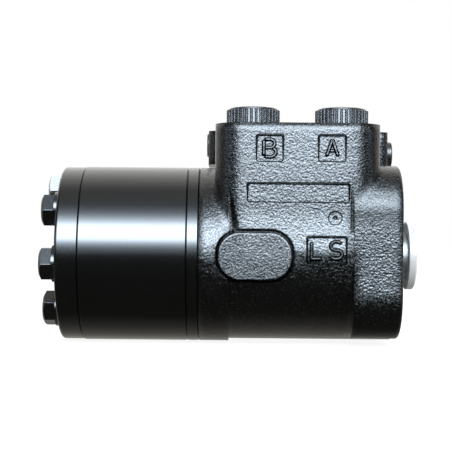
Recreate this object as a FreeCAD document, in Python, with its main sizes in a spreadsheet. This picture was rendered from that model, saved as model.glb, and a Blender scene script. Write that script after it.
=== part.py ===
"""Orbital steering unit: a rotary spool and sleeve valve in a cast housing, with an orbiting
gear set behind it, built as an assembly of separate parts.

Frame, in millimetres: the origin is the centre of the column mounting face, on the shaft axis.
+X points out of that face towards the steering column, +Z points up out of the port face, and
-Y is the side that carries the flat casting pads. The unit lies behind the face, along -X.
"""
import FreeCAD, Part
import math
import os
import re
import Sketcher

V = FreeCAD.Vector
DEGREES = math.pi / 180
FULL_TURN = 360

doc = FreeCAD.newDocument("orbital_steering_unit")

# Driving dimensions: each is written once here, and every part reads it from the sheet.
SIZES = [
    # the housing casting
    ("housing_length", 104, "column face to spacer plate"),
    ("flange_radius", 46.5, "round rear flange, spacer plate and gear ring"),
    ("rear_flange_length", 16, "round flange that carries the gear set"),
    ("waist_step", 1.2, "half round waist inside the flange radius"),
    ("tower_step", 1, "sides of the port tower inside the flange radius"),
    ("tower_rise", 20.9, "port face beyond the flange radius"),
    ("tower_front_margin", 19.1, "port tower in front of its front ports"),
    ("tower_rear_margin", 19.6, "port tower behind its rear ports"),
    ("tower_corner", 15, "vertical corners of the port tower"),
    ("front_flange_length", 25, "rounded square flange at the column"),
    ("front_flange_step", 0.7, "sides of the square flange inside the flange radius"),
    ("front_flange_rise", 0.7, "top of the square flange beyond the flange radius"),
    ("front_flange_drop", 3.3, "bottom of the square flange inside the flange radius"),
    ("front_flange_corner", 24, "corner radius of the square flange"),
    ("ear_front_proud", 9.4, "front valve ear in front of the tower"),
    ("ear_rear_proud", 4.1, "rear valve ear behind the tower"),
    ("ear_near", 7, "near side of the valve ears"),
    ("ear_far_step", 3.5, "far side of the valve ears inside the flange radius"),
    ("ear_height", 18.4, "valve ears, down from the port face"),
    ("ear_corner", 4, "corners of the valve ears"),
    ("casting_fillet", 1.8, "soft edges of the casting"),
    ("pad_height", 1.2, "oval casting pad in front of the tower side"),
    ("pad_length", 37.2, "long way of the oval pad"),
    ("pad_width", 24.2, "short way of the oval pad"),
    ("pad_corner", 11, "end radius of the oval pad"),
    ("pad_shift", 1, "oval pad in front of the rear ports"),
    ("pad_low", 0.5, "middle of the oval pad under the axis"),
    ("pad_root", 6, "how far the pad is rooted inside the tower side"),
    ("moat_width", 1.3, "groove around the oval pad"),
    ("moat_depth", 0.6, "groove around the oval pad, inside the tower side"),
    # bores and galleries of the housing
    ("bore_radius", 19, "bore that the sleeve turns in"),
    ("running_gap", 0.03, "radial clearance of sleeve and spool"),
    ("neck_clear", 0.5, "housing shoulder around the spool neck"),
    ("dust_room", 4.8, "pocket of the dust seal around the neck"),
    ("dust_pocket_depth", 4.2, "depth of the dust seal pocket"),
    ("seal_room", 3.8, "pocket of the shaft seal around the neck"),
    ("seal_pocket_depth", 12.2, "bottom of the shaft seal pocket"),
    ("bearing_shoulder", 14, "shoulder that the thrust bearing stands on"),
    ("gallery_depth", 3.5, "ring galleries around the bore"),
    ("gallery_width", 6, "ring galleries along the axis"),
    ("passage_radius", 4.5, "drilled passages"),
    ("passage_level", 11, "passages above the axis"),
    ("port_radius", 9.5, "tapped wall of the main ports"),
    ("port_depth", 16, "tapped depth of the main ports"),
    ("port_front", 29.8, "front pair of ports behind the column face"),
    ("port_rear_margin", 27.9, "rear pair of ports in front of the spacer plate"),
    ("port_offset", 22, "ports either side of the axis"),
    ("spot_radius", 13.2, "machined seat around a port"),
    ("spot_depth", 0.8, "depth of that seat, which the plug's flat seal fills"),
    ("sensing_radius", 5.25, "tapped wall of the load sensing port"),
    ("sensing_depth", 12, "tapped depth of the load sensing port"),
    ("column_bolt_radius", 4.25, "tapped wall of the column bolts"),
    ("column_bolt_depth", 18, "depth of the column bolt holes"),
    ("column_bolt_edge", 5.25, "column bolt circle inside the flange radius"),
    ("timing_radius", 2.2, "axial timing passages to the gear set"),
    ("timing_wall", 6.4, "circle of the timing passages around the bore"),
    ("timing_reach", 18, "length of those passages from the spacer plate"),
    ("spoke_step", 0.5, "timing spokes, narrower and further forward than those passages"),
    # gear set, plate and cover
    ("plate_thickness", 6, "spacer plate"),
    ("plate_bore", 13, "cardan hole of the spacer plate"),
    ("ring_width", 55, "gear ring and rotor"),
    ("ring_lobes", 7, "lobes of the ring, and its bolts"),
    ("lobe_radius", 9, "round lobes of the ring"),
    ("lobe_beyond", 1.2, "lobe centres beyond the bolt circle"),
    ("pocket_gap", 0.2, "ring wall between the lobes to the rotor's furthest tip"),
    ("eccentricity", 3, "orbit of the rotor"),
    ("mesh_gap", 0.05, "rotor flank to ring lobe"),
    ("side_gap", 0.03, "rotor faces to plate and cover"),
    ("cover_thickness", 11.8, "end cover"),
    ("cover_step", 0.3, "end cover inside the flange radius"),
    ("cover_fillet", 1.8, "outer edge of the end cover"),
    ("joint_chamfer", 0.5, "edges where the sections meet"),
    # bolts
    ("bolt_radius", 5, "cover bolts"),
    ("bolt_fit", 0.04, "radial clearance of a bolt in its thread"),
    ("bolt_clear", 0.5, "radial clearance through cover, ring and plate"),
    ("bolt_edge", 13.3, "bolt circle inside the flange radius"),
    ("bolt_angle", 189, "first bolt, from +Y towards +Z"),
    ("bolt_hole_depth", 22, "tapped depth in the housing"),
    ("bolt_reach", 19, "how far a bolt enters the housing"),
    ("head_height", 6.7, "bolt heads"),
    ("head_across", 16, "bolt heads across flats"),
    ("head_chamfer", 0.7, "chamfer of the bolt heads"),
    ("washer_radius", 9.5, "washers"),
    ("washer_thickness", 2, "washers"),
    # valve set
    ("sleeve_wall", 4.5, "wall of the sleeve"),
    ("sleeve_rear_gap", 0.2, "sleeve end in front of the plate"),
    ("spool_rear_gap", 3, "spool end in front of the plate"),
    ("spool_wall", 4.1, "wall of the spool around the cardan shaft"),
    ("neck_step", 1.7, "spool neck inside the spool radius"),
    ("neck_proud", 7.3, "spool neck in front of the face"),
    ("spline_teeth", 12, "teeth of the column and cardan splines"),
    ("spline_wall", 1.8, "neck wall at the grooves of the column spline"),
    ("spline_tooth", 1.1, "tooth height of the column spline"),
    ("spline_depth", 25, "length of the column spline"),
    ("valve_swing", 8, "spool against sleeve, each way, degrees"),
    ("pin_place", 38, "cross pin behind the column face"),
    ("pin_radius", 4, "cross pin"),
    ("pin_fit", 0.02, "radial clearance of the pin in the sleeve"),
    ("pin_end_gap", 0.8, "pin ends inside the sleeve surface"),
    ("meter_hole", 1.6, "ports of the sleeve"),
    ("meter_count", 6, "ports in each row of the sleeve"),
    ("flute_count", 6, "oil grooves along the spool"),
    ("flute_reach", 9, "half length of those grooves"),
    ("flute_depth", 1.2, "oil grooves of the spool"),
    ("flute_width", 3, "oil grooves of the spool"),
    # centring springs
    ("spring_place", 26.5, "middle of the leaf springs behind the face"),
    ("spring_width", 5, "leaf springs along the axis"),
    ("spring_leaf", 0.55, "thickness of a leaf"),
    ("spring_gap", 0.02, "leaf to leaf at rest"),
    ("spring_end_gap", 0.4, "ends of the leaves inside the retainer seat"),
    ("spring_bow", 1.1, "height of a bowed leaf"),
    ("spring_slot", 4.6, "slot for the springs"),
    ("slot_gap", 0.1, "slot to the leaves along the axis, and spool slot to sleeve slot"),
    ("retainer_gap", 0.1, "ring around the springs to the bore"),
    ("retainer_wall", 0.9, "wall of that ring"),
    ("retainer_width", 9, "ring around the springs"),
    # thrust bearing and seals
    ("race_thickness", 1.5, "thrust washers"),
    ("race_neck_gap", 0.4, "thrust bearing around the neck"),
    ("race_bore_gap", 0.2, "thrust bearing inside the bore"),
    ("race_chamfer", 0.2, "edges of the thrust washers"),
    ("cage_step", 0.3, "cage inside the rims of the thrust washers"),
    ("cage_share", 1.4, "cage thickness in needle radii"),
    ("needle_radius", 1.25, "needles"),
    ("needle_play", 0.01, "radial clearance of a needle between the thrust washers"),
    ("needle_length", 3.6, "needles"),
    ("needle_count", 16, "needles"),
    ("window_gap", 0.06, "cage window around a needle"),
    ("seal_gap", 0.02, "seal lips around the neck"),
    ("seal_space", 0.2, "shaft seal behind the dust seal"),
    ("seal_foot", 1.2, "free space behind the lip of the shaft seal"),
    ("seal_lip", 0.8, "width of a seal lip"),
    ("seal_flex", 1.0, "free space in front of the lips"),
    ("dust_front_gap", 0.6, "dust seal behind the column face"),
    ("ring_groove_edge", 3.3, "face seals inside the flange radius"),
    ("ring_groove_depth", 1.4, "face seal grooves"),
    ("ring_groove_width", 2, "face seal grooves"),
    ("ring_seal_gap", 0.25, "face seals to the sides of their grooves"),
    ("ring_seal_round", 0.35, "soft edges of the face seals"),
    # cardan shaft
    ("fork_clear", 1.1, "fork end of the cardan shaft inside the spool"),
    ("fork_front", 7.5, "fork in front of the pin centre"),
    ("fork_rear", 9, "fork slot behind the pin centre"),
    ("fork_gap", 0.35, "fork to pin, each side"),
    ("fork_cone", 1.5, "chamfer of the fork end"),
    ("fork_slope", 4, "length of the cone from fork to shaft"),
    ("cardan_step", 1.8, "cardan shaft inside its fork end"),
    ("crown_share", 0.4, "middle of the crowned spline, as a share of the ring width"),
    ("crown_length", 20, "crowned spline"),
    ("crown_tip", 11.3, "tooth tops of the crowned spline"),
    ("crown_root", 9.5, "groove bottoms of the crowned spline"),
    ("crown_gap", 0.8, "rotor spline around the crowned spline"),
    ("crown_tooth", 0.28, "tooth top width, share of the pitch"),
    ("rotor_tooth", 0.2, "tooth top width, share of the pitch"),
    ("spacer_gap", 0.3, "drive spacer inside the rotor spline"),
    ("spacer_end_gap", 0.6, "drive spacer to the cardan shaft"),
    # locating pin and check valve
    ("dowel_radius", 1.5, "locating pin"),
    ("dowel_fit", 0.01, "radial clearance of the locating pin"),
    ("dowel_edge", 7.5, "locating pin inside the flange radius"),
    ("dowel_length", 10, "hole of the locating pin"),
    ("dowel_end_gap", 0.2, "ends of the locating pin in its hole"),
    ("check_radius", 4.2, "check valve ball"),
    ("check_travel", 1.5, "lift of the check valve ball"),
    ("check_seat_length", 6, "check valve seat"),
    ("check_seat_hole", 2.4, "oil hole of the seat"),
    # side valves in the ears
    ("valve_offset", 20, "side valves beyond the axis"),
    ("valve_drop_front", 11.6, "front side valve under the port face"),
    ("valve_drop_rear", 7.2, "rear side valve under the port face"),
    ("valve_bore", 5.5, "side valve bores"),
    ("valve_depth", 12.5, "side valve bores"),
    ("valve_head_front", 7, "head of the front valve plug"),
    ("valve_head_rear", 6.4, "head of the rear valve plug"),
    ("valve_proud_front", 3, "head of the front valve plug, length"),
    ("valve_proud_rear", 0.9, "head of the rear valve plug, length"),
    ("valve_chamfer", 0.4, "edge of the valve plug heads"),
    ("valve_key", 5, "key sockets across flats"),
    ("valve_key_depth", 3, "key sockets"),
    ("valve_plug_length", 4.5, "threaded part of a valve plug"),
    ("valve_fit", 0.04, "radial clearance of plug, seat and poppet"),
    ("poppet_length", 2.6, "side valve poppet"),
    ("poppet_nose", 0.8, "nose of the poppet inside its seat"),
    ("poppet_travel", 1, "lift of a side valve poppet"),
    ("valve_seat_length", 2, "side valve seat"),
    ("valve_seat_hole", 2.2, "oil hole of the seat"),
    ("coil_radius", 3.2, "side valve spring"),
    ("coil_wire", 0.45, "radius of its wire"),
    ("coil_turns", 2.5, "turns of that spring"),
    # shipping plugs
    ("plug_radius", 13.4, "knurled plug between its ribs"),
    ("plug_height", 9.3, "head of the knurled plug"),
    ("plug_taper", 0.5, "how much narrower its top is"),
    ("plug_edge", 1.5, "rounded rim of the knurled plug"),
    ("plug_ribs", 34, "ribs of the knurled plug"),
    ("plug_rib", 0.75, "radius of a rib"),
    ("plug_rib_start", 0.3, "foot of the ribs above the port face"),
    ("plug_stem", 12, "stem of the knurled plug in its port"),
    ("plug_stem_gap", 0.05, "radial clearance of the stem"),
    ("plug_stem_wall", 2.7, "wall of the stem"),
    ("plug_roof", 2, "top of the hollow above the port face"),
    ("plug_seal_gap", 0.3, "flat seal to its seat's wall"),
    ("cap_radius", 18.2, "dust plug of the spool"),
    ("cap_thickness", 4, "dust plug of the spool"),
    ("cap_edge", 0.8, "edge of the dust plug"),
    ("cap_stem", 16, "stem of the dust plug"),
    ("cap_stem_gap", 0.25, "stem inside the spline"),
    ("cap_wall", 1.8, "wall of that stem"),
]

size = doc.addObject("Spreadsheet::Sheet", "size")
for row, (alias, number, note) in enumerate(SIZES, start=1):
    size.set(f"A{row}", str(number))
    size.setAlias(f"A{row}", alias)
    size.set(f"B{row}", note)
doc.recompute()

# Places along the axis and other values that follow from the sizes.
PLACES = [
    # along the shaft axis
    ("housing_rear", "-size.housing_length"),
    ("plate_rear", "housing_rear - size.plate_thickness"),
    ("ring_rear", "plate_rear - size.ring_width"),
    ("cover_rear", "ring_rear - size.cover_thickness"),
    ("round_front", "housing_rear + size.rear_flange_length"),
    ("port_rear", "size.housing_length - size.port_rear_margin"),
    ("port_middle", "(size.port_front + port_rear) / 2"),
    ("gallery_left", "size.port_front + (port_rear - size.port_front) / 3"),
    ("gallery_right", "port_rear - (port_rear - size.port_front) / 3"),
    ("tower_front", "size.tower_front_margin - size.port_front"),
    ("tower_rear", "-port_rear - size.tower_rear_margin"),
    ("ear_front_face", "tower_front + size.ear_front_proud"),
    ("ear_rear_face", "tower_rear - size.ear_rear_proud"),
    ("pad_middle", "size.pad_shift - port_rear"),
    ("timing_place", "size.housing_length - size.timing_reach"),
    ("crown_place", "-plate_rear + size.crown_share * size.ring_width"),
    ("race_front", "-size.bearing_shoulder"),
    ("needle_front", "race_front - size.race_thickness"),
    ("needle_rear", "needle_front - 2 * size.needle_radius"),
    ("race_rear", "needle_rear - size.race_thickness"),
    ("sleeve_front", "race_rear - size.side_gap"),
    ("spool_rear", "housing_rear + size.spool_rear_gap"),
    # across it, from the flange radius inwards and outwards
    ("waist_radius", "size.flange_radius - size.waist_step"),
    ("tower_side", "size.flange_radius - size.tower_step"),
    ("flange_side", "size.flange_radius - size.front_flange_step"),
    ("flange_top", "size.flange_radius + size.front_flange_rise"),
    ("flange_bottom", "size.front_flange_drop - size.flange_radius"),
    ("port_face", "size.flange_radius + size.tower_rise"),
    ("ear_far", "size.flange_radius - size.ear_far_step"),
    ("cover_radius", "size.flange_radius - size.cover_step"),
    ("bolt_circle", "size.flange_radius - size.bolt_edge"),
    ("lobe_circle", "bolt_circle + size.lobe_beyond"),
    ("pocket_radius", "lobe_circle + 2 * size.eccentricity - size.lobe_radius + size.pocket_gap"),
    ("ring_groove", "size.flange_radius - size.ring_groove_edge"),
    ("dowel_circle", "size.flange_radius - size.dowel_edge"),
    ("column_circle", "size.flange_radius - size.column_bolt_edge"),
    ("bolt_pitch", "360 / size.ring_lobes"),
    # from the bore inwards and outwards
    ("gallery_radius", "size.bore_radius + size.gallery_depth"),
    ("timing_circle", "size.bore_radius + size.timing_wall"),
    ("sleeve_outer", "size.bore_radius - size.running_gap"),
    ("retainer_radius", "size.bore_radius - size.retainer_gap"),
    ("retainer_seat", "retainer_radius - size.retainer_wall"),
    ("spring_reach", "retainer_seat - size.spring_end_gap"),
    ("race_outer", "size.bore_radius - size.race_bore_gap"),
    ("spool_radius", "size.bore_radius - size.sleeve_wall"),
    ("spool_outer", "spool_radius - size.running_gap"),
    ("spool_bore", "spool_radius - size.spool_wall"),
    ("neck_radius", "spool_radius - size.neck_step"),
    ("seal_pocket", "neck_radius + size.seal_room"),
    ("dust_pocket", "neck_radius + size.dust_room"),
    ("race_inner", "neck_radius + size.race_neck_gap"),
    ("needle_circle", "(race_inner + race_outer) / 2"),
    ("spline_root", "neck_radius - size.spline_wall"),
    ("spline_tip", "spline_root - size.spline_tooth"),
    ("fork_radius", "spool_bore - size.fork_clear"),
    ("cardan_radius", "fork_radius - size.cardan_step"),
    ("rotor_root", "size.crown_tip + size.crown_gap"),
    ("rotor_tip", "size.crown_root + size.crown_gap"),
    ("spacer_radius", "rotor_tip - size.spacer_gap"),
]
place = doc.addObject("Spreadsheet::Sheet", "place")
spelled = {}
for row, (alias, formula) in enumerate(PLACES, start=1):
    # an earlier place in a formula is spelled out, so that every cell depends on the sizes alone
    spelled[alias] = re.sub(
        r"(?<![\w.])[a-z_]+(?![\w.])",
        lambda name: f"({spelled[name[0]]})" if name[0] in spelled else name[0], formula)
    place.set(f"A{row}", "=" + spelled[alias])
    place.setAlias(f"A{row}", alias)
doc.recompute()


def value(expression):
    """The number that an expression of the sheets gives now."""
    return float(size.evalExpression(str(expression)))


def bind(feature, prop, expression):
    """Set a property's value and tie it to its expression."""
    if isinstance(expression, (int, float)):
        setattr(feature, prop, expression)
        return
    feature.setExpression(prop, expression)


# Sketches: an outline is a closed run of points, each coordinate an expression of the sheets.

def new_body(label):
    body = doc.addObject("PartDesign::Body", label)
    body.Label = label
    return body


def new_sketch(body, role, offset="0", turn="0"):
    """A sketch on an origin plane, moved along its normal and turned about its own X axis."""
    base = [feature for feature in body.Origin.OriginFeatures if feature.Role == role][0]
    sketch = body.newObject("Sketcher::SketchObject", "outline")
    sketch.AttachmentSupport = [(base, "")]
    sketch.MapMode = "FlatFace"
    angle = value(turn)
    turned = FreeCAD.Rotation(V(1, 0, 0), angle)
    sketch.AttachmentOffset = FreeCAD.Placement(turned.multVec(V(0, 0, value(offset))), turned)
    if angle == 0 and offset != "0":
        sketch.setExpression("AttachmentOffset.Base.z", offset)
    return sketch


def fix_point(sketch, index, position, across, up):
    """Hold a point of the sketch at two bound distances from the sketch's origin."""
    for kind, expression in (("DistanceX", across), ("DistanceY", up)):
        number = sketch.addConstraint(
            Sketcher.Constraint(kind, -1, 1, index, position, value(expression)))
        sketch.setExpression(f"Constraints[{number}]", str(expression))


def add_outline(sketch, points):
    """A closed polygon through bound points."""
    corners = [V(value(across), value(up), 0) for across, up in points]
    first = sketch.GeometryCount
    count = len(corners)
    for index in range(count):
        sketch.addGeometry(Part.LineSegment(corners[index], corners[(index + 1) % count]))
    for index in range(count):
        sketch.addConstraint(Sketcher.Constraint(
            "Coincident", first + index, 2, first + (index + 1) % count, 1))
    for index, (across, up) in enumerate(points):
        fix_point(sketch, first + index, 1, across, up)


def add_circle(sketch, across, up, radius):
    """A circle with a bound centre and radius."""
    centre = V(value(across), value(up), 0)
    index = sketch.addGeometry(Part.Circle(centre, V(0, 0, 1), value(radius)))
    fix_point(sketch, index, 3, across, up)
    number = sketch.addConstraint(Sketcher.Constraint("Radius", index, value(radius)))
    sketch.setExpression(f"Constraints[{number}]", str(radius))


def add_rounded_box(sketch, low_across, high_across, low_up, high_up, corner):
    """A rectangle with four equal round corners, its sides at bound distances."""
    left, right = value(low_across), value(high_across)
    low, high = value(low_up), value(high_up)
    bend = value(corner)
    sides = [
        (V(left + bend, low, 0), V(right - bend, low, 0)),
        (V(right, low + bend, 0), V(right, high - bend, 0)),
        (V(right - bend, high, 0), V(left + bend, high, 0)),
        (V(left, high - bend, 0), V(left, low + bend, 0)),
    ]
    centres = [
        V(right - bend, low + bend, 0), V(right - bend, high - bend, 0),
        V(left + bend, high - bend, 0), V(left + bend, low + bend, 0),
    ]
    first = sketch.GeometryCount
    for index, (start, end) in enumerate(sides):
        sketch.addGeometry(Part.LineSegment(start, end))
        quarter = (index - 1) * math.pi / 2
        circle = Part.Circle(centres[index], V(0, 0, 1), bend)
        sketch.addGeometry(Part.ArcOfCircle(circle, quarter, quarter + math.pi / 2))
    for index in range(4):
        line = first + 2 * index
        arc = line + 1
        following = first + (2 * index + 2) % 8
        sketch.addConstraint(Sketcher.Constraint("Tangent", line, 2, arc, 1))
        sketch.addConstraint(Sketcher.Constraint("Tangent", arc, 2, following, 1))
        sketch.addConstraint(Sketcher.Constraint("Horizontal" if index % 2 == 0 else "Vertical", line))
    number = sketch.addConstraint(Sketcher.Constraint("Radius", first + 1, bend))
    sketch.setExpression(f"Constraints[{number}]", str(corner))
    for index in range(1, 4):
        sketch.addConstraint(Sketcher.Constraint("Equal", first + 1, first + 1 + 2 * index))
    for line, kind, expression in (
            (first, "DistanceY", low_up), (first + 4, "DistanceY", high_up),
            (first + 2, "DistanceX", high_across), (first + 6, "DistanceX", low_across)):
        number = sketch.addConstraint(Sketcher.Constraint(kind, -1, 1, line, 1, value(expression)))
        sketch.setExpression(f"Constraints[{number}]", str(expression))


def polar(radius, angle):
    """Expressions for a point at a radius and an angle in degrees."""
    return f"({radius}) * cos(({angle}) * 1 deg)", f"({radius}) * sin(({angle}) * 1 deg)"


def toothed(teeth, root, tip, tip_share, root_share, phase="0"):
    """Points of a straight-sided spline: each tooth has a top and a groove bottom."""
    points = []
    pitch = FULL_TURN / teeth
    for index in range(teeth):
        middle = index * pitch
        for radius, step in (
                (root, -pitch * (1 - root_share) / 2), (tip, -pitch * tip_share / 2),
                (tip, pitch * tip_share / 2), (root, pitch * (1 - root_share) / 2)):
            points.append(polar(radius, f"{phase} + {middle + step:.6f}"))
    return points


# Features: each adds or takes material, and a cut that takes nothing is an error.

def revolve(body, points, cut=False, upright=False):
    """Turn an outline about the shaft axis, or about the upright axis of the body."""
    sketch = new_sketch(body, "XZ_Plane" if upright else "XY_Plane")
    add_outline(sketch, points)
    kind = "PartDesign::Groove" if cut else "PartDesign::Revolution"
    before = body.Shape.Volume if cut else 0
    feature = body.newObject(kind, "turned")
    feature.Profile = sketch
    feature.ReferenceAxis = (sketch, ["V_Axis" if upright else "H_Axis"])
    feature.Angle = FULL_TURN
    doc.recompute()
    if cut and not body.Shape.Volume < before - 0.001:
        raise ValueError(f"{body.Label}: a groove cuts nothing")
    return feature


def pad(body, sketch, length, backwards=False, centred=False):
    """Add material along the sketch's normal, or against it."""
    feature = body.newObject("PartDesign::Pad", "pad")
    feature.Profile = sketch
    bind(feature, "Length", length)
    feature.Reversed = backwards
    feature.Midplane = centred
    doc.recompute()
    return feature


def pocket(body, sketch, length, forwards=False, centred=False):
    """Take material away against the sketch's normal, or along it."""
    before = body.Shape.Volume
    feature = body.newObject("PartDesign::Pocket", "pocket")
    feature.Profile = sketch
    bind(feature, "Length", length)
    feature.Reversed = forwards
    feature.Midplane = centred
    doc.recompute()
    if not body.Shape.Volume < before - 0.001:
        raise ValueError(f"{body.Label}: a pocket cuts nothing")
    return feature


def around(body, feature, count, role="X_Axis"):
    """Repeat a feature in equal steps about the shaft axis, or another axis of the body."""
    axis = [part for part in body.Origin.OriginFeatures if part.Role == role][0]
    pattern = body.newObject("PartDesign::PolarPattern", "around")
    pattern.Originals = [feature]
    pattern.Axis = (axis, [""])
    pattern.Angle = FULL_TURN
    bind(pattern, "Occurrences", count)
    body.Tip = pattern
    doc.recompute()
    return pattern


def round_edges(body, chosen, radius, kind="PartDesign::Fillet"):
    """Fillet or chamfer the edges of the body's last feature that the test picks."""
    base = body.Tip
    names = [f"Edge{number}" for number, edge in enumerate(base.Shape.Edges, start=1) if chosen(edge)]
    if not names:
        raise ValueError(f"{body.Label}: no edge to round")
    feature = body.newObject(kind, "edge")
    feature.Base = (base, names)
    bind(feature, "Radius" if kind.endswith("Fillet") else "Size", radius)
    doc.recompute()
    return feature


def ring_profile(rear, front, inner, outer, chamfer="0"):
    """Outline of a plain ring, with its four corners cut when a chamfer is given."""
    if chamfer == "0":
        return [(rear, inner), (front, inner), (front, outer), (rear, outer)]
    return [
        (f"{rear} + {chamfer}", inner), (f"{front} - {chamfer}", inner),
        (front, f"{inner} + {chamfer}"), (front, f"{outer} - {chamfer}"),
        (f"{front} - {chamfer}", outer), (f"{rear} + {chamfer}", outer),
        (rear, f"{outer} - {chamfer}"), (rear, f"{inner} + {chamfer}"),
    ]


def turned_part(label, points):
    body = new_body(label)
    revolve(body, points)
    return body


def face_circles(body, offset, circles, length, forwards=False):
    """Drill a set of round holes from a plane across the shaft axis."""
    sketch = new_sketch(body, "YZ_Plane", offset)
    for across, up, radius in circles:
        add_circle(sketch, across, up, radius)
    return pocket(body, sketch, length, forwards)


def bolt_places(radius, shift="0"):
    """The places of the cover bolts on a circle, or of points between them."""
    return [
        polar(radius, f"size.bolt_angle + {shift} + {index} * place.bolt_pitch")
        for index in range(int(value("size.ring_lobes")))]


HALF_PITCH = "place.bolt_pitch / 2"
DOWEL_ANGLE = f"size.bolt_angle + {HALF_PITCH}"
PIN_BOLT = 5


# Housing

def make_housing():
    body = new_body("housing")
    revolve(body, [
        ("place.housing_rear", "0"), ("0", "0"),
        ("0", "place.waist_radius - size.casting_fillet"),
        ("-size.casting_fillet", "place.waist_radius"),
        ("place.round_front", "place.waist_radius"), ("place.round_front", "size.flange_radius"),
        ("place.housing_rear + size.joint_chamfer", "size.flange_radius"),
        ("place.housing_rear", "size.flange_radius - size.joint_chamfer")])
    flange = new_sketch(body, "YZ_Plane")
    side = "place.flange_side"
    add_rounded_box(
        flange, "-" + side, side, "place.flange_bottom", "place.flange_top", "size.front_flange_corner")
    pad(body, flange, "size.front_flange_length", backwards=True)
    round_edges(
        body, lambda edge: on_plane(edge, 0, 0) and reaches(edge, value("-place.flange_bottom") - 1),
        "size.casting_fillet")
    tower = new_sketch(body, "XY_Plane")
    add_rounded_box(
        tower, "place.tower_rear", "place.tower_front",
        "-place.tower_side", "place.tower_side", "size.tower_corner")
    pad(body, tower, "place.port_face")
    ears = new_sketch(body, "XY_Plane", "place.port_face - size.ear_height")
    add_rounded_box(
        ears, "place.ear_rear_face", "place.ear_front_face",
        "size.ear_near", "place.ear_far", "size.ear_corner")
    pad(body, ears, "size.ear_height")
    moat = new_sketch(body, "XZ_Plane", "size.flange_radius + 1")
    oval(moat, "size.moat_width")
    pocket(body, moat, "size.moat_depth + size.tower_step + 1")
    pads = new_sketch(body, "XZ_Plane", "place.tower_side - size.pad_root")
    oval(pads, "0")
    pad(body, pads, "size.pad_root + size.pad_height")
    drill_housing(body)
    return body


def oval(sketch, around_it):
    """Outline of the oval casting pad, or of the groove that far around it."""
    half_length = f"(size.pad_length / 2 + {around_it})"
    half_width = f"(size.pad_width / 2 + {around_it})"
    add_rounded_box(
        sketch, f"place.pad_middle - {half_length}", f"place.pad_middle + {half_length}",
        f"-size.pad_low - {half_width}", f"-size.pad_low + {half_width}", f"size.pad_corner + {around_it}")


def on_plane(edge, axis, level):
    """Whether an edge lies in a plane across an axis."""
    box = edge.BoundBox
    low, high = ((box.XMin, box.XMax), (box.YMin, box.YMax), (box.ZMin, box.ZMax))[axis]
    return abs(low - level) < 0.01 and abs(high - level) < 0.01


def reaches(edge, radius):
    """Whether any part of an edge is further from the shaft axis than a radius."""
    return max(math.hypot(vertex.Y, vertex.Z) for vertex in edge.Vertexes) > radius


def drill_housing(body):
    bore = "size.bore_radius"
    gallery = "place.gallery_radius"
    half_width = "size.gallery_width / 2"
    profile = [
        ("1", "0"), ("1", "place.dust_pocket"),
        ("-size.dust_pocket_depth", "place.dust_pocket"),
        ("-size.dust_pocket_depth", "place.seal_pocket"),
        ("-size.seal_pocket_depth", "place.seal_pocket"),
        ("-size.seal_pocket_depth", "place.neck_radius + size.neck_clear"),
        ("-size.bearing_shoulder", "place.neck_radius + size.neck_clear"),
        ("-size.bearing_shoulder", bore)]
    for middle in ("size.port_front", "place.gallery_left", "place.gallery_right", "place.port_rear"):
        profile += [
            (f"-({middle}) + {half_width}", bore), (f"-({middle}) + {half_width}", gallery),
            (f"-({middle}) - {half_width}", gallery), (f"-({middle}) - {half_width}", bore)]
    profile += [("place.housing_rear - 1", bore), ("place.housing_rear - 1", "0")]
    revolve(body, profile, cut=True)
    ports = [
        (f"-({along})", side + "size.port_offset")
        for along in ("size.port_front", "place.port_rear") for side in ("-", "")]
    for radius, depth in (
            ("size.spot_radius", "size.spot_depth"), ("size.port_radius", "size.port_depth"),
            ("size.passage_radius", "place.port_face - size.passage_level")):
        sketch = new_sketch(body, "XY_Plane", "place.port_face")
        for across, up in ports:
            add_circle(sketch, across, up, radius)
        pocket(body, sketch, depth)
    sensing = new_sketch(body, "XY_Plane", "place.port_face")
    add_circle(sensing, "-place.port_middle", "size.port_offset", "size.sensing_radius")
    pocket(body, sensing, "size.sensing_depth")
    for start, end, forwards in (
            ("size.port_front", "place.gallery_left", False),
            ("place.port_rear", "place.gallery_right", True)):
        face_circles(
            body, f"-({start})", [("-size.port_offset", "size.passage_level", "size.passage_radius")],
            f"abs({start} - {end}) + {half_width}", forwards)
    corner = "place.column_circle * sqrt(0.5)"
    face_circles(
        body, "0", [(a + corner, b + corner, "size.column_bolt_radius") for a in "- " for b in "- "],
        "size.column_bolt_depth")
    hole = "size.bolt_radius + size.bolt_fit"
    face_circles(
        body, "place.housing_rear", [(a, b, hole) for a, b in bolt_places("place.bolt_circle")],
        "size.bolt_hole_depth", forwards=True)
    deep = bolt_places("place.bolt_circle")[PIN_BOLT]
    check_room = "size.check_seat_length + 2 * size.check_radius + size.check_travel"
    face_circles(
        body, "place.housing_rear + size.bolt_hole_depth", [(deep[0], deep[1], hole)],
        check_room, forwards=True)
    timing = [(a, b, "size.timing_radius") for a, b in bolt_places("place.timing_circle", HALF_PITCH)]
    face_circles(
        body, "place.housing_rear", timing, "size.timing_reach", forwards=True)
    spoke = new_sketch(body, "XY_Plane", turn=f"size.bolt_angle + {HALF_PITCH} - 90")
    add_circle(
        spoke, "-place.timing_place - size.timing_radius - size.spoke_step", "0",
        "size.timing_radius - size.spoke_step")
    around(body, pocket(body, spoke, "place.timing_circle", forwards=True), "size.ring_lobes")
    face_circles(
        body, "place.housing_rear", [(*polar("place.dowel_circle", DOWEL_ANGLE), "size.dowel_radius")],
        "size.dowel_length / 2", forwards=True)
    face_groove(body, "place.housing_rear", "")
    valve_bores(body)


def face_groove(body, face, sign):
    """A ring groove for a face seal, cut into a section face; sign gives its direction."""
    low = "place.ring_groove - size.ring_groove_width / 2"
    high = "place.ring_groove + size.ring_groove_width / 2"
    floor = f"{face} + {sign}size.ring_groove_depth"
    revolve(body, [(face, low), (floor, low), (floor, high), (face, high)], cut=True)


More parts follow.
